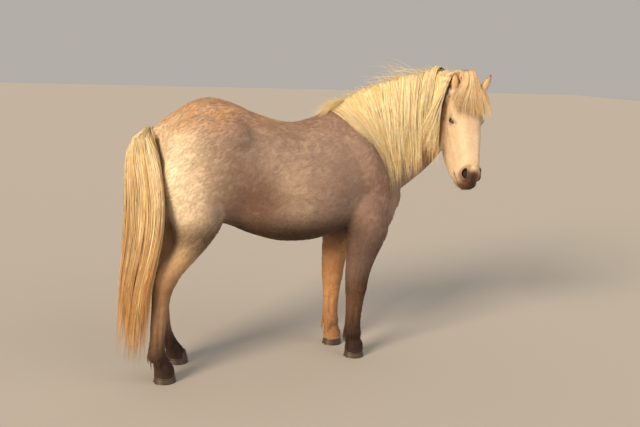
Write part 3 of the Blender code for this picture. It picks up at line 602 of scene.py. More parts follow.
def melt_body():
    """The whole body in one closed surface, finer on the head."""
    form = bmesh.new()
    add_trunk(form)
    add_muscles(form)
    for word in ("right", "left"):
        add_foreleg(form, FEET["fore_" + word])
        add_hindleg(form, FEET["hind_" + word])
    add_neck(form)
    add_crest(form)
    add_head(form, PLACE)
    add_dock(form)
    for side in (-1, 1):
        add_rings(form, ear_rings(side, PLACE))
    thing = bpy.data.objects.new("skin_form", mesh_from_form("skin_form", form))
    bpy.context.scene.collection.objects.link(thing)
    melt = thing.modifiers.new("melt", "REMESH")
    melt.mode = "VOXEL"
    melt.voxel_size = SKIN_GRAIN
    apply_modifiers(thing)
    points = mesh_points(thing.data)
    head = near_head(points)
    soft = thing.vertex_groups.new(name="soft")
    detail = thing.vertex_groups.new(name="detail")
    softness = np.clip((points[:, 2] - 0.55) / 0.2, 0, 1) * (1 - head)
    for k in range(len(points)):
        soft.add([k], softness[k], "REPLACE")
        detail.add([k], 1.0 - HEAD_DETAIL * head[k], "REPLACE")
    for name, rounds, group in (("relax", 90, "soft"), ("settle", 9, "")):
        relax = thing.modifiers.new(name, "SMOOTH")
        relax.factor = 0.5
        relax.iterations = rounds
        relax.vertex_group = group
    thin = thing.modifiers.new("thin", "DECIMATE")
    thin.ratio = SKIN_FACES / (2 * len(thing.data.polygons))
    thin.vertex_group = "detail"
    thin.vertex_group_factor = 1.0
    thin.use_collapse_triangulate = True
    apply_modifiers(thing)
    mesh = thing.data
    bpy.data.objects.remove(thing)
    return mesh


# The places on the face that get finer faces: middle and radius
FINE_SPOTS = (
    ((0.186, 0.090, -0.050), 0.048),
    ((0.186, -0.090, -0.050), 0.048),
    ((0.500, 0.0, -0.080), 0.100),
)


def refine_face(mesh):
    """Cuts the faces round the eyes and on the muzzle into finer ones."""
    for _ in range(2):
        form = bmesh.new()
        form.from_mesh(mesh)
        local = head_points(np.array([vert.co for vert in form.verts]))
        inside = np.zeros(len(local), bool)
        for middle, radius in FINE_SPOTS:
            inside |= np.linalg.norm(local - np.array(middle), axis=-1) < radius
        form.verts.ensure_lookup_table()
        edges = [e for e in form.edges if inside[e.verts[0].index] and inside[e.verts[1].index]
                 and e.calc_length() > 0.0022]
        bmesh.ops.subdivide_edges(form, edges=edges, cuts=1, use_grid_fill=True)
        bmesh.ops.triangulate(form, faces=form.faces)
        form.to_mesh(mesh)
        form.free()


# The eye: which way it looks, half length of its opening, half height above and below
GAZE = (0.04, 0.90, 0.43)
EYE_LONG, EYE_HIGH, EYE_LOW = 0.0172, 0.0098, 0.0082


def eye_axes(side):
    """The eye's middle, its gaze, the way along its lids and the way up across them."""
    gaze = unit(np.array((GAZE[0], side * GAZE[1], GAZE[2])))
    along = np.array((1.0, side * -0.30, 0.62))
    along = unit(along - gaze * along.dot(gaze))
    across = np.cross(gaze, along)
    if across[2] < 0:
        across = -across
    return np.array(mirrored(EYE, side)), gaze, along, across


def shape_eye(local, side):
    """Lays the lids over the eye, opens them in an almond and folds the skin round them."""
    eye, gaze, along, across = eye_axes(side)
    away = local - eye
    reach = np.linalg.norm(away, axis=-1)
    a, b, c = away @ along, away @ across, away @ gaze
    picked = (reach < 0.055) & (c > 0.0)
    high = np.where(b > 0, EYE_HIGH, EYE_LOW)
    q = np.sqrt((a / EYE_LONG) ** 2 + (b / high) ** 2)
    lid = EYE_RADIUS + 0.0030 + 0.0012 * bell(q - 1.18, 0.16)
    lid = lid - 0.0010 * bell(q - 1.62, 0.14) * (b > 0)
    opened = EYE_RADIUS - 0.0050
    target = opened + (lid - opened) * ramp(q, 0.93, 1.05)
    blend = 1 - ramp(q, 1.45, 2.9)
    wanted = reach + (target - reach) * blend
    scale = np.where(picked, wanted / np.maximum(reach, 1e-6), 1.0)
    return eye + away * scale[:, None]


# The nostril: its middle, half length and half width, how deep it goes
NOSTRIL_AT = (0.471, 0.0460, -0.0270)
NOSTRIL_LONG, NOSTRIL_WIDE, NOSTRIL_DEEP = 0.0290, 0.0150, 0.026


def nostril_reach(local, side):
    """How far places lie from a nostril's middle, 1 at its rim, and the way it opens."""
    out = unit(np.array((0.15, side * 0.52, 0.84)))
    along = np.array((1.0, side * 0.10, -0.10))
    along = unit(along - out * along.dot(out))
    across = np.cross(out, along)
    away = local - np.array(mirrored(NOSTRIL_AT, side))
    a, b = away @ along, away @ across
    b = b - 0.007 * (a / NOSTRIL_LONG) ** 2 * np.sign(across[2])
    q = np.sqrt((a / NOSTRIL_LONG) ** 2 + (b / NOSTRIL_WIDE) ** 2)
    return np.where(np.linalg.norm(away, axis=-1) < 0.055, q, 9.0), out


def shape_nostril(local, side):
    q, out = nostril_reach(local, side)
    pit = NOSTRIL_DEEP * (1 - ramp(q, 0.42, 1.05)) - 0.0034 * bell(q - 1.32, 0.26)
    return local - pit[:, None] * out


# The mouth: how far down the face its corner and front are, and the height of its line
MOUTH_CORNER, MOUTH_FRONT = 0.438, 0.548


def mouth_line(s):
    """Height of the line between the lips, which rises to the front and dips at the corner."""
    t = np.clip((s - MOUTH_CORNER) / (MOUTH_FRONT - MOUTH_CORNER), 0, 1)
    return MOUTH_V - 0.010 * (1 - t) ** 2 + 0.004 * np.sin(t * math.pi)


def shape_mouth(local, normal):
    s, z = local[:, 0], local[:, 2]
    line = z - mouth_line(s)
    along = ramp(s, MOUTH_CORNER - 0.006, MOUTH_CORNER + 0.010)
    cut = 0.0090 * bell(line, 0.0036) * along
    lips = (0.0026 * bell(line - 0.0080, 0.0065) + 0.0030 * bell(line + 0.0085, 0.0065)) * along
    muzzle = ramp(s, 0.40, 0.44)
    return local + normal * ((lips - cut) * muzzle)[:, None]


def shape_planes(local, normal):
    """The bony planes of the face: the crest under the eye, the hollow over it, the jaw's edge."""
    s, y, z = local[:, 0], np.abs(local[:, 1]), local[:, 2]
    crest = bell(z + 0.090 - 0.12 * (s - 0.25), 0.010) * ramp(s, 0.20, 0.24) * (1 - ramp(s, 0.30, 0.37))
    hollow = bell(s - 0.128, 0.020) * bell(y - 0.068, 0.018) * bell(z + 0.014, 0.030)
    nose = bell(z + 0.055, 0.024) * ramp(s, 0.27, 0.32) * (1 - ramp(s, 0.40, 0.44)) * ramp(y, 0.02, 0.04)
    jaw = bell(s - 0.270 + 0.35 * (z + 0.17), 0.016) * bell(z + 0.185, 0.060) * ramp(y, 0.02, 0.05)
    chin = bell(s - 0.440, 0.016) * bell(z + 0.172, 0.022) * (1 - ramp(y, 0.02, 0.04))
    push = 0.0030 * crest - 0.0050 * hollow - 0.0030 * nose - 0.0045 * jaw - 0.0050 * chin
    return local + normal * push[:, None]


def shape_legs(points, normal):
    """Hollows beside the tendons, the hock's point, the knee's and fetlock's bones."""
    push = np.zeros(len(points))
    for place, foot in FEET.items():
        hind = place.startswith("hind")
        x, y = points[:, 0] - foot[0], points[:, 1] - foot[1]
        here = ((np.abs(x) < 0.16) & (np.abs(y) < 0.10)) * 1.0
        z = points[:, 2]
        back = -0.036 if hind else -0.026
        top = 0.44 if hind else 0.33
        tendon = bell(x - back, 0.010) * ramp(z, 0.17, 0.21) * (1 - ramp(z, top - 0.04, top))
        push -= here * tendon * ramp(np.abs(normal[:, 1]), 0.35, 0.8) * 0.0055
        joint = 0.505 if hind else 0.395
        bones = bell(z - joint, 0.022) * ramp(np.abs(normal[:, 1]), 0.3, 0.8)
        push += here * bones * 0.0030
        push += here * bell(z - 0.150, 0.020) * ramp(np.abs(normal[:, 1]), 0.3, 0.8) * 0.0025
        push -= here * bell(z - 0.108, 0.014) * 0.0020
    return points + normal * push[:, None]


# Soft hollows and swells of the trunk and neck: middle, radii, how far out they push the skin
SWELLS = (
    ((0.395, 0.215, 0.985), (0.050, 0.12, 0.190), -0.0080),
    ((0.560, 0.150, 0.955), (0.045, 0.08, 0.075), 0.0080),
    ((0.350, 0.190, 0.780), (0.050, 0.09, 0.045), -0.0070),
    ((-0.250, 0.240, 0.830), (0.060, 0.12, 0.120), -0.0110),
    ((-0.350, 0.200, 1.260), (0.070, 0.08, 0.060), 0.0050),
    ((-0.560, 0.170, 1.020), (0.045, 0.10, 0.170), -0.0060),
    ((-0.470, 0.200, 0.985), (0.070, 0.09, 0.140), 0.0070),
    ((0.100, 0.290, 0.940), (0.230, 0.12, 0.130), 0.0040),
    ((-0.190, 0.230, 1.150), (0.050, 0.10, 0.080), -0.0070),
)


def shape_trunk(points, normal):
    push = np.zeros(len(points))
    for (x, y, z), (rx, ry, rz), out in SWELLS:
        for side in (-1, 1):
            away = ((points[:, 0] - x) / rx) ** 2 + ((points[:, 1] - side * y) / ry) ** 2
            push += out * np.exp(-away - ((points[:, 2] - z) / rz) ** 2)
    return points + normal * (push * (1 - near_head(points)))[:, None]


def make_skin():
    """The skin's mesh, with the face, joints and muscles shaped, lying under the coat."""
    mesh = melt_body()
    refine_face(mesh)
    points, normals = mesh_points(mesh), mesh_normals(mesh)
    points = shape_trunk(shape_legs(points, normals), normals)
    local, turned = head_points(points), normals @ TO_HEAD[:3, :3].T
    head = near_head(points)[:, None] > 0.0
    shaped = shape_planes(local, turned)
    shaped = shape_mouth(shaped, turned)
    for side in (-1, 1):
        shaped = shape_nostril(shaped, side)
        shaped = shape_eye(shaped, side)
    points = np.where(head, shaped @ FROM_HEAD[:3, :3].T + FROM_HEAD[:3, 3], points)
    move_points(mesh, points)
    depth = coat_depth(points)
    move_points(mesh, points - mesh_normals(mesh) * depth[:, None])
    return mesh


def coat_depth(points):
    head = near_head(points)
    leg = 1 - ramp(points[:, 2], 0.55, 0.75)
    depth = COAT_DEPTH["body"] + (COAT_DEPTH["leg"] - COAT_DEPTH["body"]) * leg
    depth = depth + (COAT_DEPTH["head"] - depth) * head
    hoof = 1 - ramp(points[:, 2], 0.060, 0.085)
    return depth * (1 - 0.6 * hoof)


# Colours of the coat; some carry painted light and shade, marked where they are used
SHADES = {
    "body": "#A88E80",
    "dapple_and_sun_patch": "#CDB49D",
    "brown_and_shadow": "#86695A",
    "dark_belly_and_shade": "#4A352A",
    "rump": "#EFD6B4",
    "neck": "#94766A",
    "face": "#E8D2B4",
    "cheek": "#DDB384",
    "muzzle": "#6E4E3A",
    "nostril": "#241A17",
    "lid": "#5E4E46",
    "ear": "#E0B887",
    "ear_hollow_shade": "#7C5636",
    "leg": "#5E4331",
    "leg_tan_and_sunlight": "#D6A070",
    "leg_dark": "#33241E",
    "forearm": "#6C574D",
    "mane_root": "#F3DFB2",
    "gaskin": "#E8C8A0",
    "croup": "#D6A87C",
    "throat": "#8A5F40",
    "cream_and_sunlight": "#F8E8CC",
}


def blend_to(base, code, share):
    """Mixes the base colours with the named one."""
    return base + (colour(SHADES[code]) - base) * np.clip(share, 0, 1)[:, None]


def coat_colour(points, seed=0):
    """The coat's colour at each place, painted light and shade included, the same for skin and tufts."""
    x, y, z = points.T
    local = head_points(points)
    s, hy, hz = local.T
    head = near_head(points)
    wide = value_noise(points, 0.16, 5)
    fine = value_noise(points, 0.035, 9)
    # The body's mauve-beige is partly the coat and partly painted shadow over the barrel and shoulders
    base = np.tile(colour(SHADES["body"]), (len(points), 1))
    trunk = ramp(z, 0.56, 0.74)
    base = blend_to(base, "brown_and_shadow", trunk * (0.35 * ramp(wide, 0.45, 0.75) + 0.25 * ramp(fine, 0.5, 0.9)))
    rump = ramp(x + 0.25 * (z - 1.0), -0.28, -0.60) * ramp(z, 0.55, 0.80)
    # Along the top of the croup and back a warm tan: painted light of a low sun grazing the top
    top = ramp(z, 1.22, 1.36) * ramp(x, 0.25, -0.10)
    base = blend_to(base, "rump", 0.92 * rump)
    base = blend_to(base, "croup", 0.60 * top * (0.5 + ramp(fine, 0.3, 0.7)))
    # The rear of the hindquarters paler: the coat's cream with painted sunlight on the face turned to the light
    base = blend_to(base, "cream_and_sunlight", 0.85 * ramp(x, -0.44, -0.62) * ramp(z, 0.72, 0.90) * ramp(z, 1.28, 1.14))
    bent = points + 0.018 * np.stack([value_noise(points, 0.05, 21 + k) - 0.5 for k in range(3)], axis=-1)
    spots = cell_noise(bent * np.array((1.0, 1.0, 1.15)), 0.062, 31)
    spots = ramp(spots, 0.15, 0.95) * ramp(value_noise(points, 0.11, 41), 0.30, 0.70)
    side = trunk * ramp(x, 0.50, 0.32) * ramp(z, 0.72, 0.90)
    base = blend_to(base, "dapple_and_sun_patch", 0.42 * spots * side + 0.16 * ramp(fine, 0.45, 0.85) * side)
    # A lighter patch on the barrel: painted sunlight falling on the coat
    patch = bell(x + 0.02 + 0.35 * (z - 0.95), 0.10) * bell(z - 0.97, 0.17) * (0.6 + 0.8 * ramp(fine, 0.3, 0.7))
    base = blend_to(base, "dapple_and_sun_patch", 0.85 * patch * trunk)
    # A dark band over the flank: painted shadow
    flank_shadow = bell(x + 0.20, 0.16) * bell(z - 0.93, 0.16)
    base = blend_to(base, "brown_and_shadow", 0.95 * flank_shadow)
    # The neck's mauve-brown: partly the coat, partly painted shadow
    base = blend_to(base, "neck", 0.65 * ramp(x, 0.34, 0.56) * trunk)
    breast = ramp(x, 0.52, 0.66) * ramp(z, 1.20, 1.05) * ramp(z, 0.74, 0.86)
    base = blend_to(base, "dapple_and_sun_patch", 0.45 * breast)
    crest = np.full(len(points), 9.0)
    for share in np.linspace(0.04, 1.0, 25):
        top = np.array(crest_point(share)) + np.array((0, 0, 0.030))
        crest = np.minimum(crest, np.linalg.norm(points - top, axis=-1))
    base = blend_to(base, "mane_root", ramp(crest, 0.065, 0.040) * ramp(x, 0.30, 0.42))
    # The belly and lower barrel darker: partly their own tone, mostly painted shade beneath the body
    base = blend_to(base, "dark_belly_and_shade", ramp(z, 0.88, 0.72) * (1 - ramp(x, 0.34, 0.52)) * ramp(z, 0.5, 0.62))
    for place, foot in FEET.items():
        hind = place.startswith("hind")
        near = bell(x - foot[0], 0.22) * (np.sign(y) == np.sign(foot[1]))
        # Upper legs: tan on the hind legs; grey-mauve on the forelegs, partly the coat and partly painted shadow
        down = near * ramp(z, 0.84, 0.62)
        base = blend_to(base, "gaskin" if hind else "forearm", (0.75 if hind else 0.95) * down)
        joint = 0.50 if hind else 0.41
        lower = near * ramp(z, joint + 0.10, joint - 0.04)
        base = blend_to(base, "leg", lower * (0.70 if hind else 0.95))
        # The left foreleg carries painted sunlight: warm orange all round below the forearm, less dark at knee and
        # foot; the other legs get a little of the same tan as their own tone
        warm = near * ramp(z, 0.72, 0.56) if place == "fore_left" else lower
        base = blend_to(base, "leg_tan_and_sunlight", warm * {"fore_left": 0.85, "fore_right": 0.05}.get(place, 0.28))
        base = blend_to(base, "leg_tan_and_sunlight", 0.55 * near * hind * bell(z - 0.56, 0.09))
        front = ramp(x - foot[0], -0.03, 0.04)
        knee = {"fore_left": 0.20, "fore_right": 0.80}.get(place, 0.35)
        base = blend_to(base, "leg_dark", near * bell(z - joint, 0.075) * knee * (0.4 + 0.6 * front))
        low = ramp(z, 0.34, 0.12)
        base = blend_to(base, "leg_dark", near * low * (0.40 if place == "fore_left" else 1.00))
    dock = np.linalg.norm((points - np.array((-0.70, 0, 1.235))) / np.array((0.055, 0.06, 0.05)), axis=-1)
    base = blend_to(base, "rump", ramp(dock, 1.3, 0.8))
    base = face_colour(base, s, hy, hz, head, points)
    grain = value_noise(points, 0.010, 61 + seed) - 0.5
    return base * (1 + 0.16 * grain)[:, None]


def face_colour(base, s, hy, hz, head, points):
    """The head's colours: a pale face, warm cheeks, dark lids, lips and nostrils, with painted shade on the throat,
    in the ears' hollows, between the nostrils and along the mouth.
    """
    back = np.interp(s, [row[0] for row in SKULL], [row[2] for row in SKULL])
    ragged = 0.016 * (value_noise(points, 0.03, 83) - 0.5)
    face = head * ramp(s, -0.10, -0.05) * ramp(hz - back, -0.004, 0.050) * ramp(hy + ragged, -0.118, -0.100)
    # Painted shade on the throat and the head's underside, outside the pale face
    throat = head * ramp(s, -0.02, 0.06) * (1 - face) * ramp(s, 0.42, 0.34)
    base = blend_to(base, "throat", 0.80 * throat)
    base = blend_to(base, "face", 0.95 * face)
    cheek = face * ramp(hz, -0.10, -0.22) * ramp(s, 0.34, 0.20)
    base = blend_to(base, "cheek", 0.40 * cheek)
    lump = value_noise(points, 0.045, 77)
    base = blend_to(base, "cheek", face * 0.30 * ramp(lump, 0.45, 0.8))
    middle = ramp(np.abs(hy), 0.054, 0.034)
    muzzle = face * ramp(s - 0.10 * hz, 0.440, 0.500) * ramp(hz, -0.150, -0.100) * (0.25 + 0.75 * middle)
    base = blend_to(base, "muzzle", 0.75 * muzzle + 0.55 * face * ramp(s, 0.49, 0.54))
    # Between and under the nostrils: partly the muzzle's dark skin, partly painted shade
    between = face * ramp(s, 0.442, 0.474) * bell(hy, 0.044) * ramp(hz, -0.115, -0.070)
    base = blend_to(base, "muzzle", 0.95 * between)
    base = blend_to(base, "nostril", 0.80 * between * ramp(s, 0.455, 0.485))
    for way in (-1, 1):
        eye, gaze, along, across = eye_axes(way)
        away = np.stack([s, hy, hz], axis=-1) - eye
        a, b, c = away @ along, away @ across, away @ gaze
        high = np.where(b > 0, EYE_HIGH, EYE_LOW)
        q = np.sqrt((a / EYE_LONG) ** 2 + (b / high) ** 2)
        near = (np.linalg.norm(away, axis=-1) < 0.06) & (c > -0.005)
        base = blend_to(base, "lid", near * 0.90 * bell(q - 1.05, 0.28))
        base = blend_to(base, "lid", near * 0.25 * bell(q - 1.9, 0.5))
        reach = nostril_reach(np.stack([s, hy, hz], axis=-1), way)[0]
        base = blend_to(base, "muzzle", head * 0.55 * ramp(reach, 2.4, 1.3))
        base = blend_to(base, "nostril", head * 0.97 * ramp(reach, 1.16, 0.80))
        ear = ear_share(np.stack([s, hy, hz], axis=-1), way)
        base = blend_to(base, "ear", head * 0.80 * ramp(ear, 0.10, 0.35))
        # Painted shade in the hollow of each ear
        base = blend_to(base, "ear_hollow_shade", head * 0.80 * inside_ear(np.stack([s, hy, hz], axis=-1), way))
    # A dark line along the mouth: painted shade in the crease between the lips
    line = np.abs(hz - mouth_line(s))
    base = blend_to(base, "nostril", face * 0.95 * bell(line, 0.0070) * ramp(s, MOUTH_CORNER, 0.452))
    return base


def ear_share(local, side):
    """How far along an ear a place is, from 0 at its base to 1 at its tip."""
    base, tip = np.array(EAR_BASE[side]), np.array(EAR_TIP[side])
    along = tip - base
    share = (local - base) @ along / along.dot(along)
    off = np.linalg.norm(local - base - share[:, None] * along, axis=-1)
    return np.clip(share, 0, 1) * (off < 0.045)


def chart(points):
    """Where each place lies on a flat unwrap of the skin, piece by piece round its own axis."""
    x, y, z = points.T
    u = np.arctan2(y, z - 1.0) / math.tau + 0.5
    v = (x + 0.90) / 1.90
    flat = np.stack([0.02 + 0.56 * u, 0.02 + 0.46 * v], axis=-1)
    neck = (x > 0.45) & (z > 0.80)
    round_neck = np.arctan2(y + 0.10, x - 0.70) / math.tau + 0.5
    flat[neck] = np.stack([0.62 + 0.36 * round_neck, 0.02 + 0.46 * (z - 0.75) / 0.95], axis=-1)[neck]
    local = head_points(points)
    head = near_head(points) > 0.5
    turn = np.arctan2(local[:, 1], local[:, 2] + 0.12) / math.tau + 0.5
    flat[head] = np.stack([0.02 + 0.44 * turn, 0.52 + 0.46 * (local[:, 0] + 0.15) / 0.75], axis=-1)[head]
    for k, (place, foot) in enumerate(FEET.items()):
        leg = (z < 0.72) & (np.abs(x - foot[0]) < 0.26) & (np.sign(y) == np.sign(foot[1]))
        turn = np.arctan2(y - foot[1], x - foot[0]) / math.tau + 0.5
        flat[leg] = np.stack([0.50 + 0.12 * (k + 0.06 + 0.80 * turn), 0.52 + 0.46 * z / 0.75], axis=-1)[leg]
    return np.clip(flat, 0.004, 0.996)


# How big the patch of one tuft is on the unwrap
PATCH = 0.003

# A batch of tufts: centre lines, the ways they face, half widths, thicknesses, colours at both ends
Batch = namedtuple("Batch", "paths outs half thick root_shade tip_shade")


def tuft_mesh(name, batch, flat=0.0, broadest=0.30, blunt=1.7):
    """One mesh of closed tapered tufts, three-sided, each drawn out to a single point."""
    paths, outs = batch.paths, batch.outs
    count, steps = paths.shape[:2]
    share = np.linspace(0, 1, steps)
    along = np.gradient(paths, axis=1)
    across = unit(np.cross(along, outs))
    out = unit(np.cross(across, along))
    swell = np.where(share < broadest, 0.62 + 0.38 * share / broadest, 1.0)
    swell = swell * (1 - np.clip((share - broadest) / (1 - broadest), 0, 1) ** blunt)
    wide = (batch.half[:, None] * swell)[..., None]
    deep = (batch.thick[:, None] * (1 - 0.75 * share))[..., None]
    rings = np.stack([
        paths - across * wide - out * deep * 0.5,
        paths + out * deep,
        paths + across * wide - out * deep * 0.5,
    ], axis=2)[:, :-1]
    verts = np.concatenate([rings.reshape(count, -1, 3), paths[:, -1:]], axis=1)
    per = verts.shape[1]
    quads, tris = [], [[2, 1, 0]]
    for j in range(steps - 2):
        for k in range(3):
            n = (k + 1) % 3
            quads.append([3 * j + k, 3 * j + n, 3 * j + 3 + n, 3 * j + 3 + k])
    last = 3 * (steps - 2)
    tris += [[last + k, last + (k + 1) % 3, per - 1] for k in range(3)]
    base = (np.arange(count) * per)[:, None]
    quad_loops = (base[..., None] + np.array(quads, int).reshape(-1, 4)).reshape(-1)
    tri_loops = (base[..., None] + np.array(tris)).reshape(-1)
    mesh = bpy.data.meshes.new(name)
    mesh.vertices.add(count * per)
    mesh.vertices.foreach_set("co", (verts + np.array(SHIFT)).astype(np.float32).ravel())
    loops = np.concatenate([quad_loops, tri_loops])
    mesh.loops.add(len(loops))
    mesh.loops.foreach_set("vertex_index", loops.astype(np.int32))
    sizes = np.concatenate([np.full(len(quad_loops) // 4, 4), np.full(len(tri_loops) // 3, 3)])
    mesh.polygons.add(len(sizes))
    mesh.polygons.foreach_set("loop_start", (np.cumsum(sizes) - sizes).astype(np.int32))
    mesh.update(calc_edges=True)
    at = np.concatenate([np.repeat(share[:-1], 3), [1.0]])
    shade = batch.root_shade[:, None] + (batch.tip_shade - batch.root_shade)[:, None] * at[None, :, None]
    paint(mesh, shade.reshape(-1, 3))
    spot = chart(paths[:, 0])[:, None] + PATCH * (np.stack([
        np.concatenate([np.tile([0, 0.5, 1.0], steps - 1), [0.5]]), at], axis=-1) - 0.5)[None]
    layer = mesh.uv_layers.new(name="OFBake")
    layer.uv.foreach_set("vector", spot.reshape(-1, 2)[loops].astype(np.float32).ravel())
    mesh.polygons.foreach_set("use_smooth", np.ones(len(sizes), bool))
    if flat:
        lie = np.concatenate([np.repeat(outs[:, :-1], 3, axis=1), outs[:, -1:]], axis=1).reshape(-1, 3)
        mesh.normals_split_custom_set_from_vertices(unit(mesh_normals(mesh) * (1 - flat) + lie * flat))
    return mesh


def paint(mesh, shades):
    """Keeps the coat's colours on the mesh, one for each corner point."""
    layer = mesh.color_attributes.new("coat", "FLOAT_COLOR", "POINT")
    full = np.ones((len(mesh.vertices), 4), np.float32)
    full[:, :3] = np.clip(shades, 0, 1)
    layer.data.foreach_set("color", full.ravel())


def coat_flow(points, normals):
    """The way the short coat lies at each place, along the skin."""
    x, y, z = points.T
    head = near_head(points)[:, None]
    down_face = FROM_HEAD[:3, :3] @ np.array((1.0, 0.0, -0.25))
    neck = ramp(x, 0.42, 0.62)[:, None]
    leg = ramp(z, 0.72, 0.52)[:, None]
    flow = np.array((-0.85, 0, -0.50)) * (1 - neck) + np.array((-0.55, 0.25, -0.85)) * neck
    flow = flow * (1 - leg) + np.array((-0.12, 0, -1.0)) * leg
    flow = flow * (1 - head) + down_face * head
    flow = flow + 0.35 * np.stack([value_noise(points, 0.12, 91 + k) - 0.5 for k in range(3)], axis=-1)
    flow = flow - normals * np.sum(flow * normals, axis=-1, keepdims=True)
    return unit(flow)


def scatter(mesh, count, seed, weight):
    """Random places on the skin, spread by area and by the weight of each face's middle."""
    mesh.calc_loop_triangles()
    corners = np.empty(len(mesh.loop_triangles) * 3, np.int32)
    mesh.loop_triangles.foreach_get("vertices", corners)
    corners = corners.reshape(-1, 3)
    points, normals = mesh_points(mesh), mesh_normals(mesh)
    a, b, c = (points[corners[:, k]] for k in range(3))
    area = np.linalg.norm(np.cross(b - a, c - a), axis=-1) * weight((a + b + c) / 3)
    dice = np.random.default_rng(seed)
    picks = np.searchsorted(np.cumsum(area), dice.random(count) * area.sum())
    u, v = dice.random(count), dice.random(count)
    u, v = np.where(u + v > 1, 1 - u, u)[:, None], np.where(u + v > 1, 1 - v, v)[:, None]
    near = corners[np.minimum(picks, len(corners) - 1)]
    share = np.concatenate([1 - u - v, u, v], axis=1)[..., None]
    spots = (points[near] * share).sum(axis=1)
    return spots, unit((normals[near] * share).sum(axis=1)), dice


def hidden_by_hair(points):
    """1 where the short coat isn't needed: eyes, nostrils, lips and hooves."""
    local = head_points(points)
    bare = np.zeros(len(points))
    for side in (-1, 1):
        eye, gaze, along, across = eye_axes(side)
        away = local - eye
        q = np.hypot(away @ along / EYE_LONG, away @ across / EYE_HIGH)
        bare = np.maximum(bare, (np.linalg.norm(away, axis=-1) < 0.04) * (1 - ramp(q, 1.25, 1.6)))
        bare = np.maximum(bare, 1 - ramp(nostril_reach(local, side)[0], 1.1, 1.4))
    lips = bell(local[:, 2] - mouth_line(local[:, 0]), 0.006) * ramp(local[:, 0], MOUTH_CORNER, 0.45)
    return np.maximum(bare, np.maximum(lips * near_head(points), 1 - ramp(points[:, 2], 0.050, 0.066)))


def short_coat(mesh, count, seed):
    """Small flat tufts all over the body, shorter on the legs and shortest on the face."""
    def weight(points):
        local = head_points(points)
        face = near_head(points)
        low = 1 - ramp(points[:, 2], 0.50, 0.70)
        return (1 + 0.9 * low + 2.2 * face) * (1 - hidden_by_hair(points))

    spots, normals, dice = scatter(mesh, count, seed, weight)
    flow = coat_flow(spots, normals)
    face = near_head(spots)
    low = 1 - ramp(spots[:, 2], 0.50, 0.70)
    muzzle = face * ramp(head_points(spots)[:, 0], 0.30, 0.50)
    length = 0.026 - 0.009 * low
    length = length + (0.0125 - length) * face - 0.006 * muzzle
    local = head_points(spots)
    length = length - 0.006 * ramp(np.maximum(ear_share(local, -1), ear_share(local, 1)), 0.1, 0.4)
    length = length * dice.uniform(0.75, 1.25, count)
    half = (0.0019 - 0.0004 * low - 0.0009 * face) * dice.uniform(0.75, 1.3, count)
    depth = coat_depth(spots)
    lift = depth * dice.uniform(0.35, 0.95, count)
    sway = np.cross(normals, flow) * dice.normal(0, 0.16, count)[:, None]
    way = unit(flow + sway)
    middle = spots + way * (0.5 * length)[:, None] + normals * (0.75 * lift)[:, None]
    tip = spots + unit(flow + 1.5 * sway) * length[:, None] + normals * lift[:, None]
    paths = np.stack([spots - normals * 0.0012, middle, tip], axis=1)
    outs = np.repeat(normals[:, None], 3, axis=1)
    shade = coat_colour(spots, 3) * (1 + dice.normal(0, 0.07, count))[:, None]
    thick = half * 0.55
    return Batch(paths, outs, half, thick, shade * 0.90, np.clip(shade * 1.07, 0, 1))


def laid_path(surface, root, ways, strides, length, lift):
    """A path from the skin that rises to its lift and lies over the body.

    ways gives its heading at each step and strides how long each step is beside the others.
    """
    near, normal = surface.find_nearest(root)[:2]
    path, outs = [near - normal * 0.010], [normal]
    point = near + normal * (0.3 * lift)
    path.append(point.copy())
    outs.append(normal)
    total = sum(strides)
    for j, (way, stride) in enumerate(zip(ways, strides)):
        high = lift * min(1.0, 0.45 + 0.14 * j)
        point = point + way.normalized() * (length * stride / total)
        near, normal = surface.find_nearest(point)[:2]
        away = point - near
        if away.dot(normal) < high:
            point = near + normal * high
            out = normal
        else:
            out = (outs[-1] * 0.6 + away.normalized() * 0.4).normalized()
        path.append(point.copy())
        outs.append(out)
    return path, outs


def eased(paths, rounds=2):
    """Takes the corners out of paths but leaves their ends."""
    paths = paths.copy()
    for _ in range(rounds):
        paths[:, 1:-1] = 0.5 * paths[:, 1:-1] + 0.25 * (paths[:, :-2] + paths[:, 2:])
    return paths


def clump_strands(paths, outs, half, depth, count, seed, strand, gather=0.75, wave=0.004):
    """Fine strands round each clump's middle line, spread at the root and gathered at the tip."""
    dice = np.random.default_rng(seed)
    clumps, steps = paths.shape[:2]
    share = np.linspace(0, 1, steps)
    along = np.gradient(paths, axis=1)
    across = unit(np.cross(along, outs))
    out = unit(np.cross(across, along))
    a = dice.uniform(-1, 1, (clumps, count))
    b = dice.uniform(-1, 1, (clumps, count)) * np.sqrt(np.maximum(1 - a * a, 0.05))
    spread = 1 - gather * share**1.6
    phase = dice.uniform(0, math.tau, (clumps, count, 2))
    turns = dice.uniform(0.6, 1.7, (clumps, count, 2))
    swing = np.sin(phase[..., None] + turns[..., None] * share * math.tau) * share**0.8 * wave
    side = a[..., None] * half[:, None, None] * spread + swing[:, :, 0]
    high = b[..., None] * depth[:, None, None] * spread + 0.5 * swing[:, :, 1]
    reach = dice.uniform(0.80, 1.0, (clumps, count))
    lines = paths[:, None] + across[:, None] * side[..., None] + out[:, None] * high[..., None]
    lines = shortened(lines.reshape(-1, steps, 3), reach.ravel())
    ways = np.repeat(out[:, None], count, axis=1).reshape(-1, steps, 3)
    wide = strand * dice.uniform(0.7, 1.35, clumps * count)
    return lines, ways, wide, dice


def shortened(lines, reach):
    """The same lines ending sooner, each at its own share of its length."""
    steps = lines.shape[1]
    at = np.linspace(0, 1, steps)[None] * reach[:, None] * (steps - 1)
    low = np.minimum(at.astype(int), steps - 2)
    part = (at - low)[..., None]
    rows = np.arange(len(lines))[:, None]
    return lines[rows, low] * (1 - part) + lines[rows, low + 1] * part


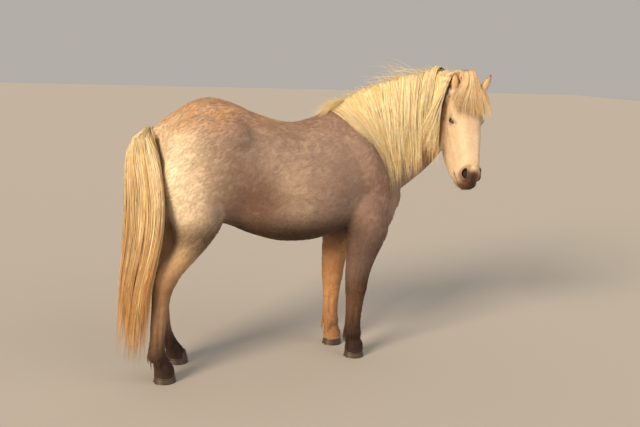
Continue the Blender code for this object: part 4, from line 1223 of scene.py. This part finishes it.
def strand_shades(dice, count, codes, weights):
    """One of the named colours for each strand, a little lighter or darker."""
    palette = np.array([colour(code) for code in codes])
    picked = palette[dice.choice(len(codes), count, p=np.array(weights) / sum(weights))]
    return picked * np.clip(1 + dice.normal(0, 0.09, count), 0.7, 1.3)[:, None]


# The mane falls on the right: share of the crest, length, how far it leans ahead as it falls
MANE = (
    (0.00, 0.400, 0.50),
    (0.20, 0.560, 0.36),
    (0.45, 0.610, 0.20),
    (0.70, 0.600, 0.09),
    (0.88, 0.510, -0.03),
    (1.00, 0.440, -0.05),
)
# Layers of the mane: clumps, how far right of the crest they grow, how high they lie, their length
# beside the lowest layer's
MANE_LAYERS = (
    (46, 0.018, 0.002, 1.00),
    (46, 0.010, 0.010, 1.00),
    (46, 0.004, 0.018, 0.94),
    (44, -0.002, 0.027, 0.86),
)
MANE_COLOURS = ("#FFF5D2", "#FFEAB8", "#FCDCA2", "#EABF84")
MANE_WEIGHTS = (0.38, 0.36, 0.18, 0.08)
MANE_STEPS = 13
# How much of each colour the lowest hair keeps: painted warm shade on the hair underneath, so that gaps look warm
UNDER_HAIR_SHADE = (0.97, 0.84, 0.66)


# How much farther back hair leans, by turns, until it falls clear of the face
LEAN_BACK = (0.0, 0.04, 0.08, 0.12, 0.17, 0.23, 0.30, 0.45)


def over_face(path):
    """Whether hair of the mane would cover the eye or cheek, rather than fall behind them."""
    s, y, z = head_points(path).T
    edge = -0.084 - 0.34 * (s - 0.05)
    return bool(np.any((s > 0.045) & (s < 0.36) & (z > edge) & (np.abs(y) < 0.15)))


def mane_batch(surface, per_clump):
    chance = random.Random(23)
    strides = [min(1.0, 0.26 + 0.17 * j) for j in range(MANE_STEPS - 2)]
    paths, outs, halves = [], [], []
    for layer, (count, spread, lift, size) in enumerate(MANE_LAYERS):
        for k in range(count):
            share = min(1.0, max(0.0, (k + 0.5 + chance.uniform(-0.45, 0.45)) / count))
            length = table_value(MANE, share, 1) * size * chance.uniform(0.74, 1.06)
            ahead = table_value(MANE, share, 2) + chance.uniform(-0.08, 0.08)
            run = crest_heading(share)
            right = Vector((run.y, -run.x, 0)).normalized()
            right = (right + Vector((0.15, -0.9, 0)) * ramp(share, 0.70, 0.98)).normalized()
            root = crest_point(share) + right * spread + Vector((0, 0, 0.03))
            drift = chance.uniform(-0.10, 0.10)
            high = lift * (0.5 + 1.1 * share - 3.0 * max(0.0, share - 0.80))
            half = 0.68 / count * chance.uniform(0.8, 1.3)
            for back in LEAN_BACK:
                fall = (Vector((ahead - back, 0, -1)) - Vector((0, 0.06, 0))).normalized()
                ways = []
                for j in range(MANE_STEPS - 2):
                    t = j / (MANE_STEPS - 3)
                    over = max(0.0, 1 - 4.0 * t)
                    sideways = 0.9 * over * (1 - 0.5 * ramp(share, 0.8, 1)) + 0.16 * (1 - t)
                    way = fall * (1 - 0.6 * over) + right * sideways
                    ways.append(way.normalized() + run * (drift * math.sin(3.0 * t + 6 * share)))
                path, out = laid_path(surface, root, ways, strides, length, high)
                falls_right = (path[-1] - root).dot(right) > 0
                if falls_right and not over_face(np.array(path)):
                    paths.append(path)
                    outs.append(out)
                    halves.append(half)
                    break
    half = np.array(halves)
    depth = np.full(len(half), 0.006)
    lines, ways, wide, dice = clump_strands(
        eased(np.array(paths)), np.array(outs), half, depth, per_clump, 7, 0.0014, 0.25
    )
    shade = strand_shades(dice, len(lines), MANE_COLOURS, MANE_WEIGHTS)
    # Painted shade: the first, lowest clumps are darkest, fading towards the top layer
    deep = np.repeat(np.linspace(1, 0, len(half)) ** 2, per_clump)[:, None]
    shade = shade * (1 - deep * (1 - np.array(UNDER_HAIR_SHADE)))
    return Batch(lines, ways, wide, wide * 0.28, shade * np.array((0.98, 0.94, 0.88)), shade)


# Loose hairs: how many, the shares of the crest they grow from, their least and greatest length,
# how far they lean back and how steeply they rise
LOOSE_HAIRS = (
    (280, 0.00, 0.13, 0.05, 0.17, 1.3, 0.34),
    (240, 0.05, 0.98, 0.04, 0.09, 0.4, 0.30),
    (34, 0.50, 0.80, 0.14, 0.26, 1.2, 0.60),
)


def flyaway_batch(surface):
    """Loose single hairs above the crest and a wisp over the withers."""
    chance = random.Random(61)
    paths, outs = [], []
    for count, first, last, short, long, lean, steep in LOOSE_HAIRS:
        for k in range(count):
            share = chance.uniform(first, last)
            run = crest_heading(share)
            right = Vector((run.y, -run.x, 0)).normalized()
            root = crest_point(share) + right * chance.uniform(-0.02, 0.03) + Vector((0, 0, 0.05))
            near = surface.find_nearest(root)[0]
            way = right * chance.uniform(-0.1, 0.5) - run * lean * chance.uniform(0.3, 1.2)
            way = (way + Vector((0, 0, steep * chance.uniform(0.5, 1.5)))).normalized()
            length = chance.uniform(short, long)
            bend = Vector((chance.uniform(-0.2, 0.1), chance.uniform(-0.5, 0.1), chance.uniform(-0.9, -0.4)))
            steps = [near + (way * q + bend * (0.5 * q * q)) * length for q in np.linspace(0, 1, 9)]
            paths.append(steps)
            outs.append([right] * 9)
    dice = np.random.default_rng(62)
    wide = np.full(len(paths), 0.0006)
    shade = strand_shades(dice, len(paths), MANE_COLOURS, MANE_WEIGHTS)
    return Batch(np.array(paths), np.array(outs), wide, wide, shade, shade)


# Rows of the forelock: clumps, how high they lie, where they grow down the face
FORELOCK_ROWS = (
    (21, 0.003, 0.022),
    (20, 0.008, 0.004),
    (19, 0.013, -0.016),
    (18, 0.018, -0.038),
    (17, 0.023, -0.060),
    (18, 0.026, -0.080),
    (16, 0.028, -0.096),
)
FORELOCK_STEPS = 12
FORELOCK_COLOURS = ("#FFEAC4", "#F8D5A4", "#E8B980", "#C49260")


def forelock_batch(surface, per_clump):
    """The hair that fans from between the ears over the forehead, down to the eyes."""
    chance = random.Random(31)
    turn = FROM_HEAD[:3, :3]
    strides = [min(1.0, 0.45 + 0.12 * j) for j in range(FORELOCK_STEPS - 2)]
    paths, outs, halves = [], [], []
    for count, lift, down in FORELOCK_ROWS:
        for k in range(count):
            spot = -1 + 2 * (k + 0.5 + chance.uniform(-0.35, 0.35)) / count
            root = PLACE @ Vector((down, (0.050 if spot < 0 else 0.058) * spot, 0.04))
            aim = (1.60 if spot < 0 else 0.62) * spot + chance.uniform(-0.06, 0.06)
            length = 0.212 - down - (0.036 if spot < 0 else 0.004) * spot**2 + chance.uniform(-0.036, 0.010)
            ways = []
            for j in range(FORELOCK_STEPS - 2):
                t = j / (FORELOCK_STEPS - 3)
                reached = down + length * t
                aside = aim * ramp(reached, 0.00, 0.05) * (1 - 0.8 * ramp(reached, 0.09, 0.15))
                ways.append(Vector(turn @ np.array((1.0, aside, 0.10 - 0.2 * t))))
            path, out = laid_path(surface, root, ways, strides, length, lift)
            paths.append(path)
            outs.append(out)
            halves.append(0.0100 * chance.uniform(0.7, 1.3))
    half = np.array(halves)
    depth = np.full(len(half), 0.003)
    lines, ways, wide, dice = clump_strands(
        eased(np.array(paths)), np.array(outs), half, depth, per_clump, 9, 0.0009, 0.45, 0.0025
    )
    shade = strand_shades(dice, len(lines), FORELOCK_COLOURS, (0.36, 0.34, 0.20, 0.10))
    return Batch(lines, ways, wide, wide * 0.28, shade * 0.95, shade)


# The tail: height, x and y of its middle, half its depth and width, how far its right side
# is turned ahead, in degrees
TAIL = (
    (1.278, -0.664, 0.000, 0.016, 0.026, 0),
    (1.255, -0.692, 0.000, 0.044, 0.058, 0),
    (1.200, -0.716, -0.018, 0.058, 0.096, 8),
    (1.100, -0.724, -0.050, 0.058, 0.132, 15),
    (0.960, -0.724, -0.080, 0.054, 0.148, 17),
    (0.800, -0.728, -0.086, 0.056, 0.150, 17),
    (0.650, -0.742, -0.080, 0.058, 0.142, 13),
    (0.500, -0.764, -0.070, 0.060, 0.134, 7),
    (0.300, -0.776, -0.068, 0.062, 0.132, 5),
    (0.150, -0.778, -0.068, 0.070, 0.130, 4),
    (0.040, -0.780, -0.066, 0.066, 0.116, 2),
)


def tail_point(height, turn, share):
    """A place in the tail at a height, a turn round its middle and a share of its half width."""
    rows = [(-row[0],) + row[1:] for row in TAIL]
    x, y, deep, wide, swing = [table_value(rows, -height, column) for column in (1, 2, 3, 4, 5)]
    swing = math.radians(swing)
    back, left = -deep * share * math.sin(turn), wide * share * math.cos(turn)
    across = back * math.cos(swing) - left * math.sin(swing)
    return Vector((x + across, y + back * math.sin(swing) + left * math.cos(swing), height))


def tail_out(height, turn):
    """The way the tail's surface faces at a height and a turn round its middle."""
    rows = [(-row[0],) + row[1:] for row in TAIL]
    deep, wide, swing = [table_value(rows, -height, column) for column in (3, 4, 5)]
    swing = math.radians(swing)
    back, left = -math.sin(turn) / deep, math.cos(turn) / wide
    across = back * math.cos(swing) - left * math.sin(swing)
    return Vector((across, back * math.sin(swing) + left * math.cos(swing), 0)).normalized()


# Rings of tail clumps: how many, how far out, height of their roots and of their tips
TAIL_RINGS = (
    (44, 1.00, 1.272, 0.100),
    (36, 0.80, 1.240, 0.070),
    (26, 0.55, 1.130, 0.055),
    (14, 0.25, 1.050, 0.050),
)
TAIL_STEPS = 13
TAIL_COLOURS = ("#FFF2CC", "#FFE4B0", "#F2C584", "#C88546")


def tail_batch(per_clump):
    chance = random.Random(41)
    paths, outs, halves = [], [], []
    for ring, (count, share, top, foot) in enumerate(TAIL_RINGS):
        for k in range(count):
            turn = math.tau * (k + 0.5 * ring + chance.uniform(-0.4, 0.4)) / count
            start = top - chance.uniform(0.0, 0.03)
            end = max(0.045, foot + chance.uniform(-0.03, 0.20) * (0.6 if ring else 1.0))
            drift = chance.uniform(-0.22, 0.22)
            path, out = [], []
            for j in range(TAIL_STEPS):
                t = (j / (TAIL_STEPS - 1)) ** 1.25
                height = start + (end - start) * t
                reach = 0.15 + (share - 0.15) * min(1.0, 14.0 * t) ** 0.7
                round_tail = turn + drift * t + 0.05 * math.sin(5 * t + k)
                path.append(tail_point(height, round_tail, reach))
                out.append(tail_out(height, round_tail))
            paths.append(path)
            outs.append(out)
            halves.append(0.50 / count * (0.5 + 0.5 * share) * chance.uniform(0.8, 1.2))
    half = np.minimum(np.array(halves), 0.018)
    lines, ways, wide, dice = clump_strands(
        np.array(paths), np.array(outs), half, half * 0.5, per_clump, 17, 0.0016, 0.25, 0.007
    )
    pale = strand_shades(dice, len(lines), TAIL_COLOURS, (0.46, 0.38, 0.14, 0.02))
    deep = strand_shades(dice, len(lines), TAIL_COLOURS, (0.02, 0.12, 0.38, 0.48))
    return Batch(lines, ways, wide, wide * 0.28, pale, deep)


FEATHER_CLUMPS = 15
FEATHER_STEPS = 6


def feather_batch(surface, per_clump):
    """The long hair behind each fetlock."""
    chance = random.Random(51)
    paths, outs = [], []
    for place, foot in FEET.items():
        back = -0.060 if place.startswith("hind") else -0.050
        for k in range(FEATHER_CLUMPS):
            spread = -1 + 2 * (k + 0.5) / FEATHER_CLUMPS
            high = 0.200 - 0.030 * abs(spread) - chance.uniform(0.0, 0.035)
            root = Vector((foot[0] + back + 0.030 * spread**2, foot[1] + 0.030 * spread, high))
            ways = [
                Vector((0.15 * j - 0.22, 0.15 * spread * (1 - 0.4 * j), -1.0)) for j in range(FEATHER_STEPS - 2)
            ]
            length = chance.uniform(0.075, 0.105) * (1 - 0.25 * abs(spread))
            path, out = laid_path(surface, root, ways, [1.0] * len(ways), length, 0.003)
            paths.append(path)
            outs.append(out)
    half = np.full(len(paths), 0.0055)
    lines, ways, wide, dice = clump_strands(
        eased(np.array(paths)), np.array(outs), half, half * 0.6, per_clump, 19, 0.0011, 0.7, 0.0015
    )
    shade = coat_colour(lines[:, 0], 5) * np.clip(1 + dice.normal(0, 0.08, len(lines)), 0.7, 1.3)[:, None]
    return Batch(lines, ways, wide, wide * 0.5, shade, shade * 1.15)


def coat_material(name, grain):
    """Hair or hairy skin: the mesh's own colours, broken up by fine streaks."""
    finish = bpy.data.materials.new(name)
    finish.use_nodes = True
    tree = finish.node_tree
    shader = tree.nodes["Principled BSDF"]
    shade = add_node(tree, "ShaderNodeAttribute", {"attribute_name": "coat"})
    place = add_node(tree, "ShaderNodeTexCoord")
    noise = add_node(
        tree, "ShaderNodeTexNoise", Vector=place.outputs["Object"], Scale=1 / grain, Detail=4.0, Roughness=0.6
    )
    level = add_node(
        tree, "ShaderNodeMapRange", Value=noise.outputs["Fac"], From_Min=0.3, From_Max=0.7, To_Min=0.86, To_Max=1.10
    )
    mixed = add_node(
        tree, "ShaderNodeVectorMath", {"operation": "MULTIPLY"}, _0=shade.outputs["Color"], _1=level.outputs["Result"]
    )
    bump = add_node(
        tree, "ShaderNodeBump", Strength=0.35, Distance=0.25 * grain, Height=noise.outputs["Fac"]
    )
    tree.links.new(mixed.outputs["Vector"], shader.inputs["Base Color"])
    tree.links.new(bump.outputs["Normal"], shader.inputs["Normal"])
    shader.inputs["Roughness"].default_value = 0.62
    shader.inputs["Specular IOR Level"].default_value = 0.22
    shader.inputs["Sheen Weight"].default_value = 0.12
    shader.inputs["Sheen Tint"].default_value = (*colour("#FFD9A6"), 1)
    shader.inputs["Sheen Roughness"].default_value = 0.5
    return finish


def glossy_material(name, roughness, code=None, bump_size=None):
    """Horn and eye: the mesh's own colours with a gloss."""
    finish = bpy.data.materials.new(name)
    finish.use_nodes = True
    tree = finish.node_tree
    shader = tree.nodes["Principled BSDF"]
    shade = add_node(tree, "ShaderNodeAttribute", {"attribute_name": "coat"})
    tree.links.new(shade.outputs["Color"], shader.inputs["Base Color"])
    shader.inputs["Roughness"].default_value = roughness
    if bump_size:
        place = add_node(tree, "ShaderNodeTexCoord")
        noise = add_node(tree, "ShaderNodeTexNoise", Vector=place.outputs["Object"], Scale=1 / bump_size, Detail=3.0)
        bump = add_node(
            tree, "ShaderNodeBump", Strength=0.4, Distance=0.3 * bump_size, Height=noise.outputs["Fac"]
        )
        tree.links.new(bump.outputs["Normal"], shader.inputs["Normal"])
    else:
        shader.inputs["Coat Weight"].default_value = 1.0
        shader.inputs["Coat Roughness"].default_value = 0.03
    return finish


def smooth(mesh):
    mesh.polygons.foreach_set("use_smooth", np.ones(len(mesh.polygons), bool))


def make_eye(side):
    """The eyeball with a dark iris and a level pupil, looking out and a little forward."""
    eye, gaze, along, across = eye_axes(side)
    form = bmesh.new()
    bmesh.ops.create_uvsphere(form, u_segments=96, v_segments=64, radius=EYE_RADIUS - 0.0006)
    mesh = mesh_from_form("eye", form)
    local = mesh_points(mesh)
    turned = local[:, :1] * along + local[:, 1:2] * across + local[:, 2:] * gaze
    aim = local / np.linalg.norm(local, axis=-1, keepdims=True)
    pupil = np.hypot(aim[:, 0] / 0.40, aim[:, 1] / 0.22)
    iris = np.hypot(aim[:, 0], aim[:, 1])
    shade = np.tile(colour("#5A3A22"), (len(aim), 1))
    grain = value_noise(aim * np.array((1, 1, 0.2)), 0.09, 3)[:, None]
    shade = shade * (0.6 + 0.7 * grain)
    dark = colour("#0B0706")
    shade = dark + (shade - dark) * ramp(pupil, 0.85, 1.15)[:, None]
    shade = shade * (1 - 0.7 * ramp(iris, 0.62, 0.78))[:, None]
    white = ramp(iris, 0.86, 0.95)[:, None]
    shade = shade + (colour("#8C7A6C") - shade) * white * (aim[:, 2:] > -0.2)
    away = turned + eye
    move_points(mesh, away @ FROM_HEAD[:3, :3].T + FROM_HEAD[:3, 3] + np.array(SHIFT))
    form = bmesh.new()
    form.from_mesh(mesh)
    bmesh.ops.recalc_face_normals(form, faces=form.faces)
    form.to_mesh(mesh)
    form.free()
    paint(mesh, shade)
    smooth(mesh)
    return mesh


# The hoof: x of its toe and heel at the coronet, heights there, half width, number of sides
CORONET = (0.050, -0.044)
CORONET_HEIGHT = 0.055
CORONET_SLOPE = 0.245
HOOF_SIDES = 72
HOOF_RINGS = 26


def make_hoof(foot):
    """A small dark hoof with growth rings, closed below, its coronet under the hair."""
    rings = []
    for j in range(HOOF_RINGS + 1):
        share = j / HOOF_RINGS
        front = CORONET[0] + (SOLE[0] - CORONET[0]) * (1 - share)
        back = CORONET[1] + (SOLE[1] - CORONET[1]) * (1 - share)
        ripple = 0.0005 * math.sin(26 * share + 0.6 * math.sin(9 * share))
        tuck = 0.0015 * max(0.0, share - 0.86) / 0.14
        ring = []
        for k in range(HOOF_SIDES):
            turn = math.tau * k / HOOF_SIDES
            c, s = math.cos(turn), math.sin(turn)
            half = (0.052 - 0.008 * share) + ripple - tuck
            x = (front + back) / 2 + ((front - back) / 2 + ripple - tuck) * c
            top = CORONET_HEIGHT + CORONET_SLOPE * x
            cleft = 0.010 * math.exp(-((s / 0.16) ** 2)) * (c < 0) * (1 - share)
            ring.append(Vector((foot[0] + x + cleft, foot[1] + half * s * (1 - 0.12 * (c < 0) * -c), top * share)))
        rings.append(ring)
    form = bmesh.new()
    add_rings(form, rings)
    mesh = mesh_from_form("hoof", form)
    points = mesh_points(mesh)
    high = points[:, 2]
    streak = value_noise(np.stack([points[:, 0] * 6, points[:, 1] * 6, high * 0.8], axis=-1), 0.05, 13)
    bands = value_noise(np.stack([0 * high, 0 * high, high * 5], axis=-1), 0.02, 15)
    shade = colour("#4A3B31") * (0.55 + 0.5 * streak + 0.35 * bands)[:, None]
    shade = shade * (1 - 0.35 * ramp(high, 0.012, 0.0))[:, None]
    move_points(mesh, points + np.array(SHIFT))
    paint(mesh, shade)
    smooth(mesh)
    return mesh


def lash_batch():
    """Eyelashes along the upper lid."""
    dice = np.random.default_rng(71)
    paths, outs = [], []
    for side in (-1, 1):
        eye, gaze, along, across = eye_axes(side)
        for k in range(46):
            t = -0.9 + 1.8 * (k + dice.uniform(-0.3, 0.3)) / 45
            a, b = EYE_LONG * t, EYE_HIGH * math.sqrt(max(0.0, 1 - t * t)) + 0.0008
            root = eye + unit(gaze * math.sqrt(max(EYE_RADIUS**2 - a * a - b * b, 1e-6)) + along * a + across * b) * (
                EYE_RADIUS + 0.002)
            way = unit(gaze * 0.9 + along * (0.5 * t) - across * 0.15)
            length = dice.uniform(0.010, 0.015)
            steps = [root + way * length * q + across * (0.003 * q * q) for q in (0, 0.35, 0.7, 1.0)]
            paths.append(np.array(steps))
            outs.append(np.tile(across, (4, 1)))
    return placed_on_head(np.array(paths), np.array(outs), dice, 0.00035, "#3A2A22")


def whisker_batch():
    """Feelers on the lips and chin."""
    dice = np.random.default_rng(73)
    paths, outs = [], []
    for k in range(64):
        turn = dice.uniform(-2.2, 2.2)
        s, z = dice.uniform(0.475, 0.530), -0.085 + 0.055 * dice.uniform(-1.2, 1.0)
        out = np.array((0.55, math.sin(turn), -0.35))
        root = np.array((s, 0.036 * math.sin(turn), z - 0.012))
        way = unit(out)
        length = dice.uniform(0.018, 0.034)
        steps = [root + way * length * q + np.array((0.5, 0, -0.4)) * 0.012 * q * q for q in (0, 0.4, 0.7, 1.0)]
        paths.append(np.array(steps))
        outs.append(np.tile(unit(np.cross(way, (0.1, 0.2, 1.0))), (4, 1)))
    return placed_on_head(np.array(paths), np.array(outs), dice, 0.0003, "#8A7A6E")


def placed_on_head(paths, outs, dice, half, code):
    turn, move = FROM_HEAD[:3, :3], FROM_HEAD[:3, 3]
    paths, outs = paths @ turn.T + move, outs @ turn.T
    half = np.full(len(paths), half)
    shade = np.tile(colour(code), (len(paths), 1)) * dice.uniform(0.7, 1.3, len(paths))[:, None]
    return Batch(paths, outs, half, half, shade, shade)


def add_batches(name, batch, finish, replaced=(), flat=0.0, limit=190000):
    """Adds a batch as pieces that each stay under the limit of triangles."""
    per = 6 * (batch.paths.shape[1] - 2) + 4
    most = limit // per
    count = len(batch.paths)
    parts = -(-count // most)
    for k in range(parts):
        piece = Batch(*[field[k::parts] for field in batch])
        mesh = tuft_mesh(name, piece, flat)
        full = name if parts == 1 else f"{name}_{k + 1}"
        link_object(full, mesh, finish, replaced if k == 0 else ())


def surface_without_ears(skin, points):
    """The skin for laying hair on, which passes the ears by."""
    local = head_points(points)
    ears = np.maximum(ear_share(local, -1), ear_share(local, 1)) > 0.22
    form = bmesh.new()
    form.from_mesh(skin)
    form.verts.ensure_lookup_table()
    bmesh.ops.delete(form, geom=[form.verts[k] for k in np.flatnonzero(ears)], context="VERTS")
    surface = BVHTree.FromBMesh(form)
    form.free()
    return surface


def build():
    hair = coat_material("long_hair", 0.004)
    skin_finish = coat_material("coat", 0.0022)
    horn = glossy_material("horn", 0.42, bump_size=0.004)
    wet = glossy_material("eye_surface", 0.12)

    skin = make_skin()
    points = mesh_points(skin)
    surface = surface_without_ears(skin, points)
    add_batches("coat_tufts", short_coat(skin, 80000, 101), skin_finish, flat=0.85)
    add_batches("mane", mane_batch(surface, 22), hair, ("neck",), flat=0.35)
    add_batches("flyaways", flyaway_batch(surface), hair)
    add_batches("forelock", forelock_batch(surface, 18), hair, flat=0.20)
    add_batches("tail", tail_batch(24), hair, ("tail",), flat=0.15)
    add_batches("feathers", feather_batch(surface, 8), skin_finish, flat=0.5)
    add_batches("lashes", lash_batch(), hair)
    add_batches("whiskers", whisker_batch(), hair)
    paint(skin, coat_colour(points))
    move_points(skin, points + np.array(SHIFT))
    smooth(skin)
    flesh = ["torso", "neck", "head", "ear_right", "ear_left"]
    flesh += [end + "leg_" + word for end in ("fore", "hind") for word in ("right", "left")]
    link_object("skin", skin, skin_finish, flesh)
    for side, word in ((-1, "right"), (1, "left")):
        link_object("eyeball_" + word, make_eye(side), wet, ("eye_" + word,))
    for place, foot in FEET.items():
        link_object("hoof_wall_" + place, make_hoof(foot), horn, ("hoof_" + place,))


# The photo's camera, before the part is centred: place, heading, pitch, roll and focal length
CAMERA_AT = Vector((-1.784, -4.002, 1.661))
CAMERA_HEADING, CAMERA_PITCH, CAMERA_ROLL = (math.radians(a) for a in (-27.18, 10.90, 2.544))
FOCAL_PIXELS = 840.3
PHOTO_WIDTH = 640


def set_camera():
    heading = CAMERA_HEADING
    ahead = Vector((-math.sin(heading), math.cos(heading), 0))
    right = Vector((math.cos(heading), math.sin(heading), 0))
    up = Vector((0, 0, 1))
    look = ahead * math.cos(CAMERA_PITCH) - up * math.sin(CAMERA_PITCH)
    rise = ahead * math.sin(CAMERA_PITCH) + up * math.cos(CAMERA_PITCH)
    across = right * math.cos(CAMERA_ROLL) + rise * math.sin(CAMERA_ROLL)
    rise = rise * math.cos(CAMERA_ROLL) - right * math.sin(CAMERA_ROLL)
    lens = bpy.data.cameras.new("camera")
    lens.sensor_width = 36
    lens.lens = FOCAL_PIXELS / PHOTO_WIDTH * 36
    camera = bpy.data.objects.new("camera", lens)
    bpy.context.scene.collection.objects.link(camera)
    turn = Matrix((across, rise, -look)).transposed().to_4x4()
    camera.matrix_world = Matrix.Translation(CAMERA_AT + SHIFT) @ turn
    bpy.context.scene.camera = camera


def plain_material(name, code, roughness):
    finish = bpy.data.materials.new(name)
    finish.use_nodes = True
    shader = finish.node_tree.nodes["Principled BSDF"]
    shader.inputs["Base Color"].default_value = (*colour(code), 1)
    shader.inputs["Roughness"].default_value = roughness
    return finish


# The lights: where each comes from, its strength, how many degrees wide it is and its tint
LIGHTS = (
    ("key", (-0.86, -0.46, 0.44), 3.7, 22, "#FFE5C2"),
    ("fill", (0.55, -0.80, 0.50), 0.60, 60, "#FFF6EC"),
)


def set_stage():
    """A plain pale floor, soft studio light and an even backdrop of light."""
    bpy.context.scene.view_settings.view_transform = "Standard"
    form = bmesh.new()
    bmesh.ops.create_grid(form, x_segments=1, y_segments=1, size=30)
    floor = bpy.data.objects.new("floor", mesh_from_form("floor", form))
    floor.data.materials.append(plain_material("floor", "#BFBBB5", 0.9))
    bpy.context.scene.collection.objects.link(floor)
    for name, way, power, angle, tint in LIGHTS:
        lamp = bpy.data.lights.new(name, "SUN")
        lamp.energy, lamp.angle = power, math.radians(angle)
        lamp.color = colour(tint)
        light = bpy.data.objects.new(name, lamp)
        light.rotation_euler = Vector(way).to_track_quat("Z", "Y").to_euler()
        bpy.context.scene.collection.objects.link(light)
    world = bpy.data.worlds.new("room")
    bpy.context.scene.world = world
    world.use_nodes = True
    world.node_tree.nodes["Background"].inputs["Color"].default_value = (*colour("#DED7CF"), 1)
    world.node_tree.nodes["Background"].inputs["Strength"].default_value = 0.62


build()
set_stage()
set_camera()
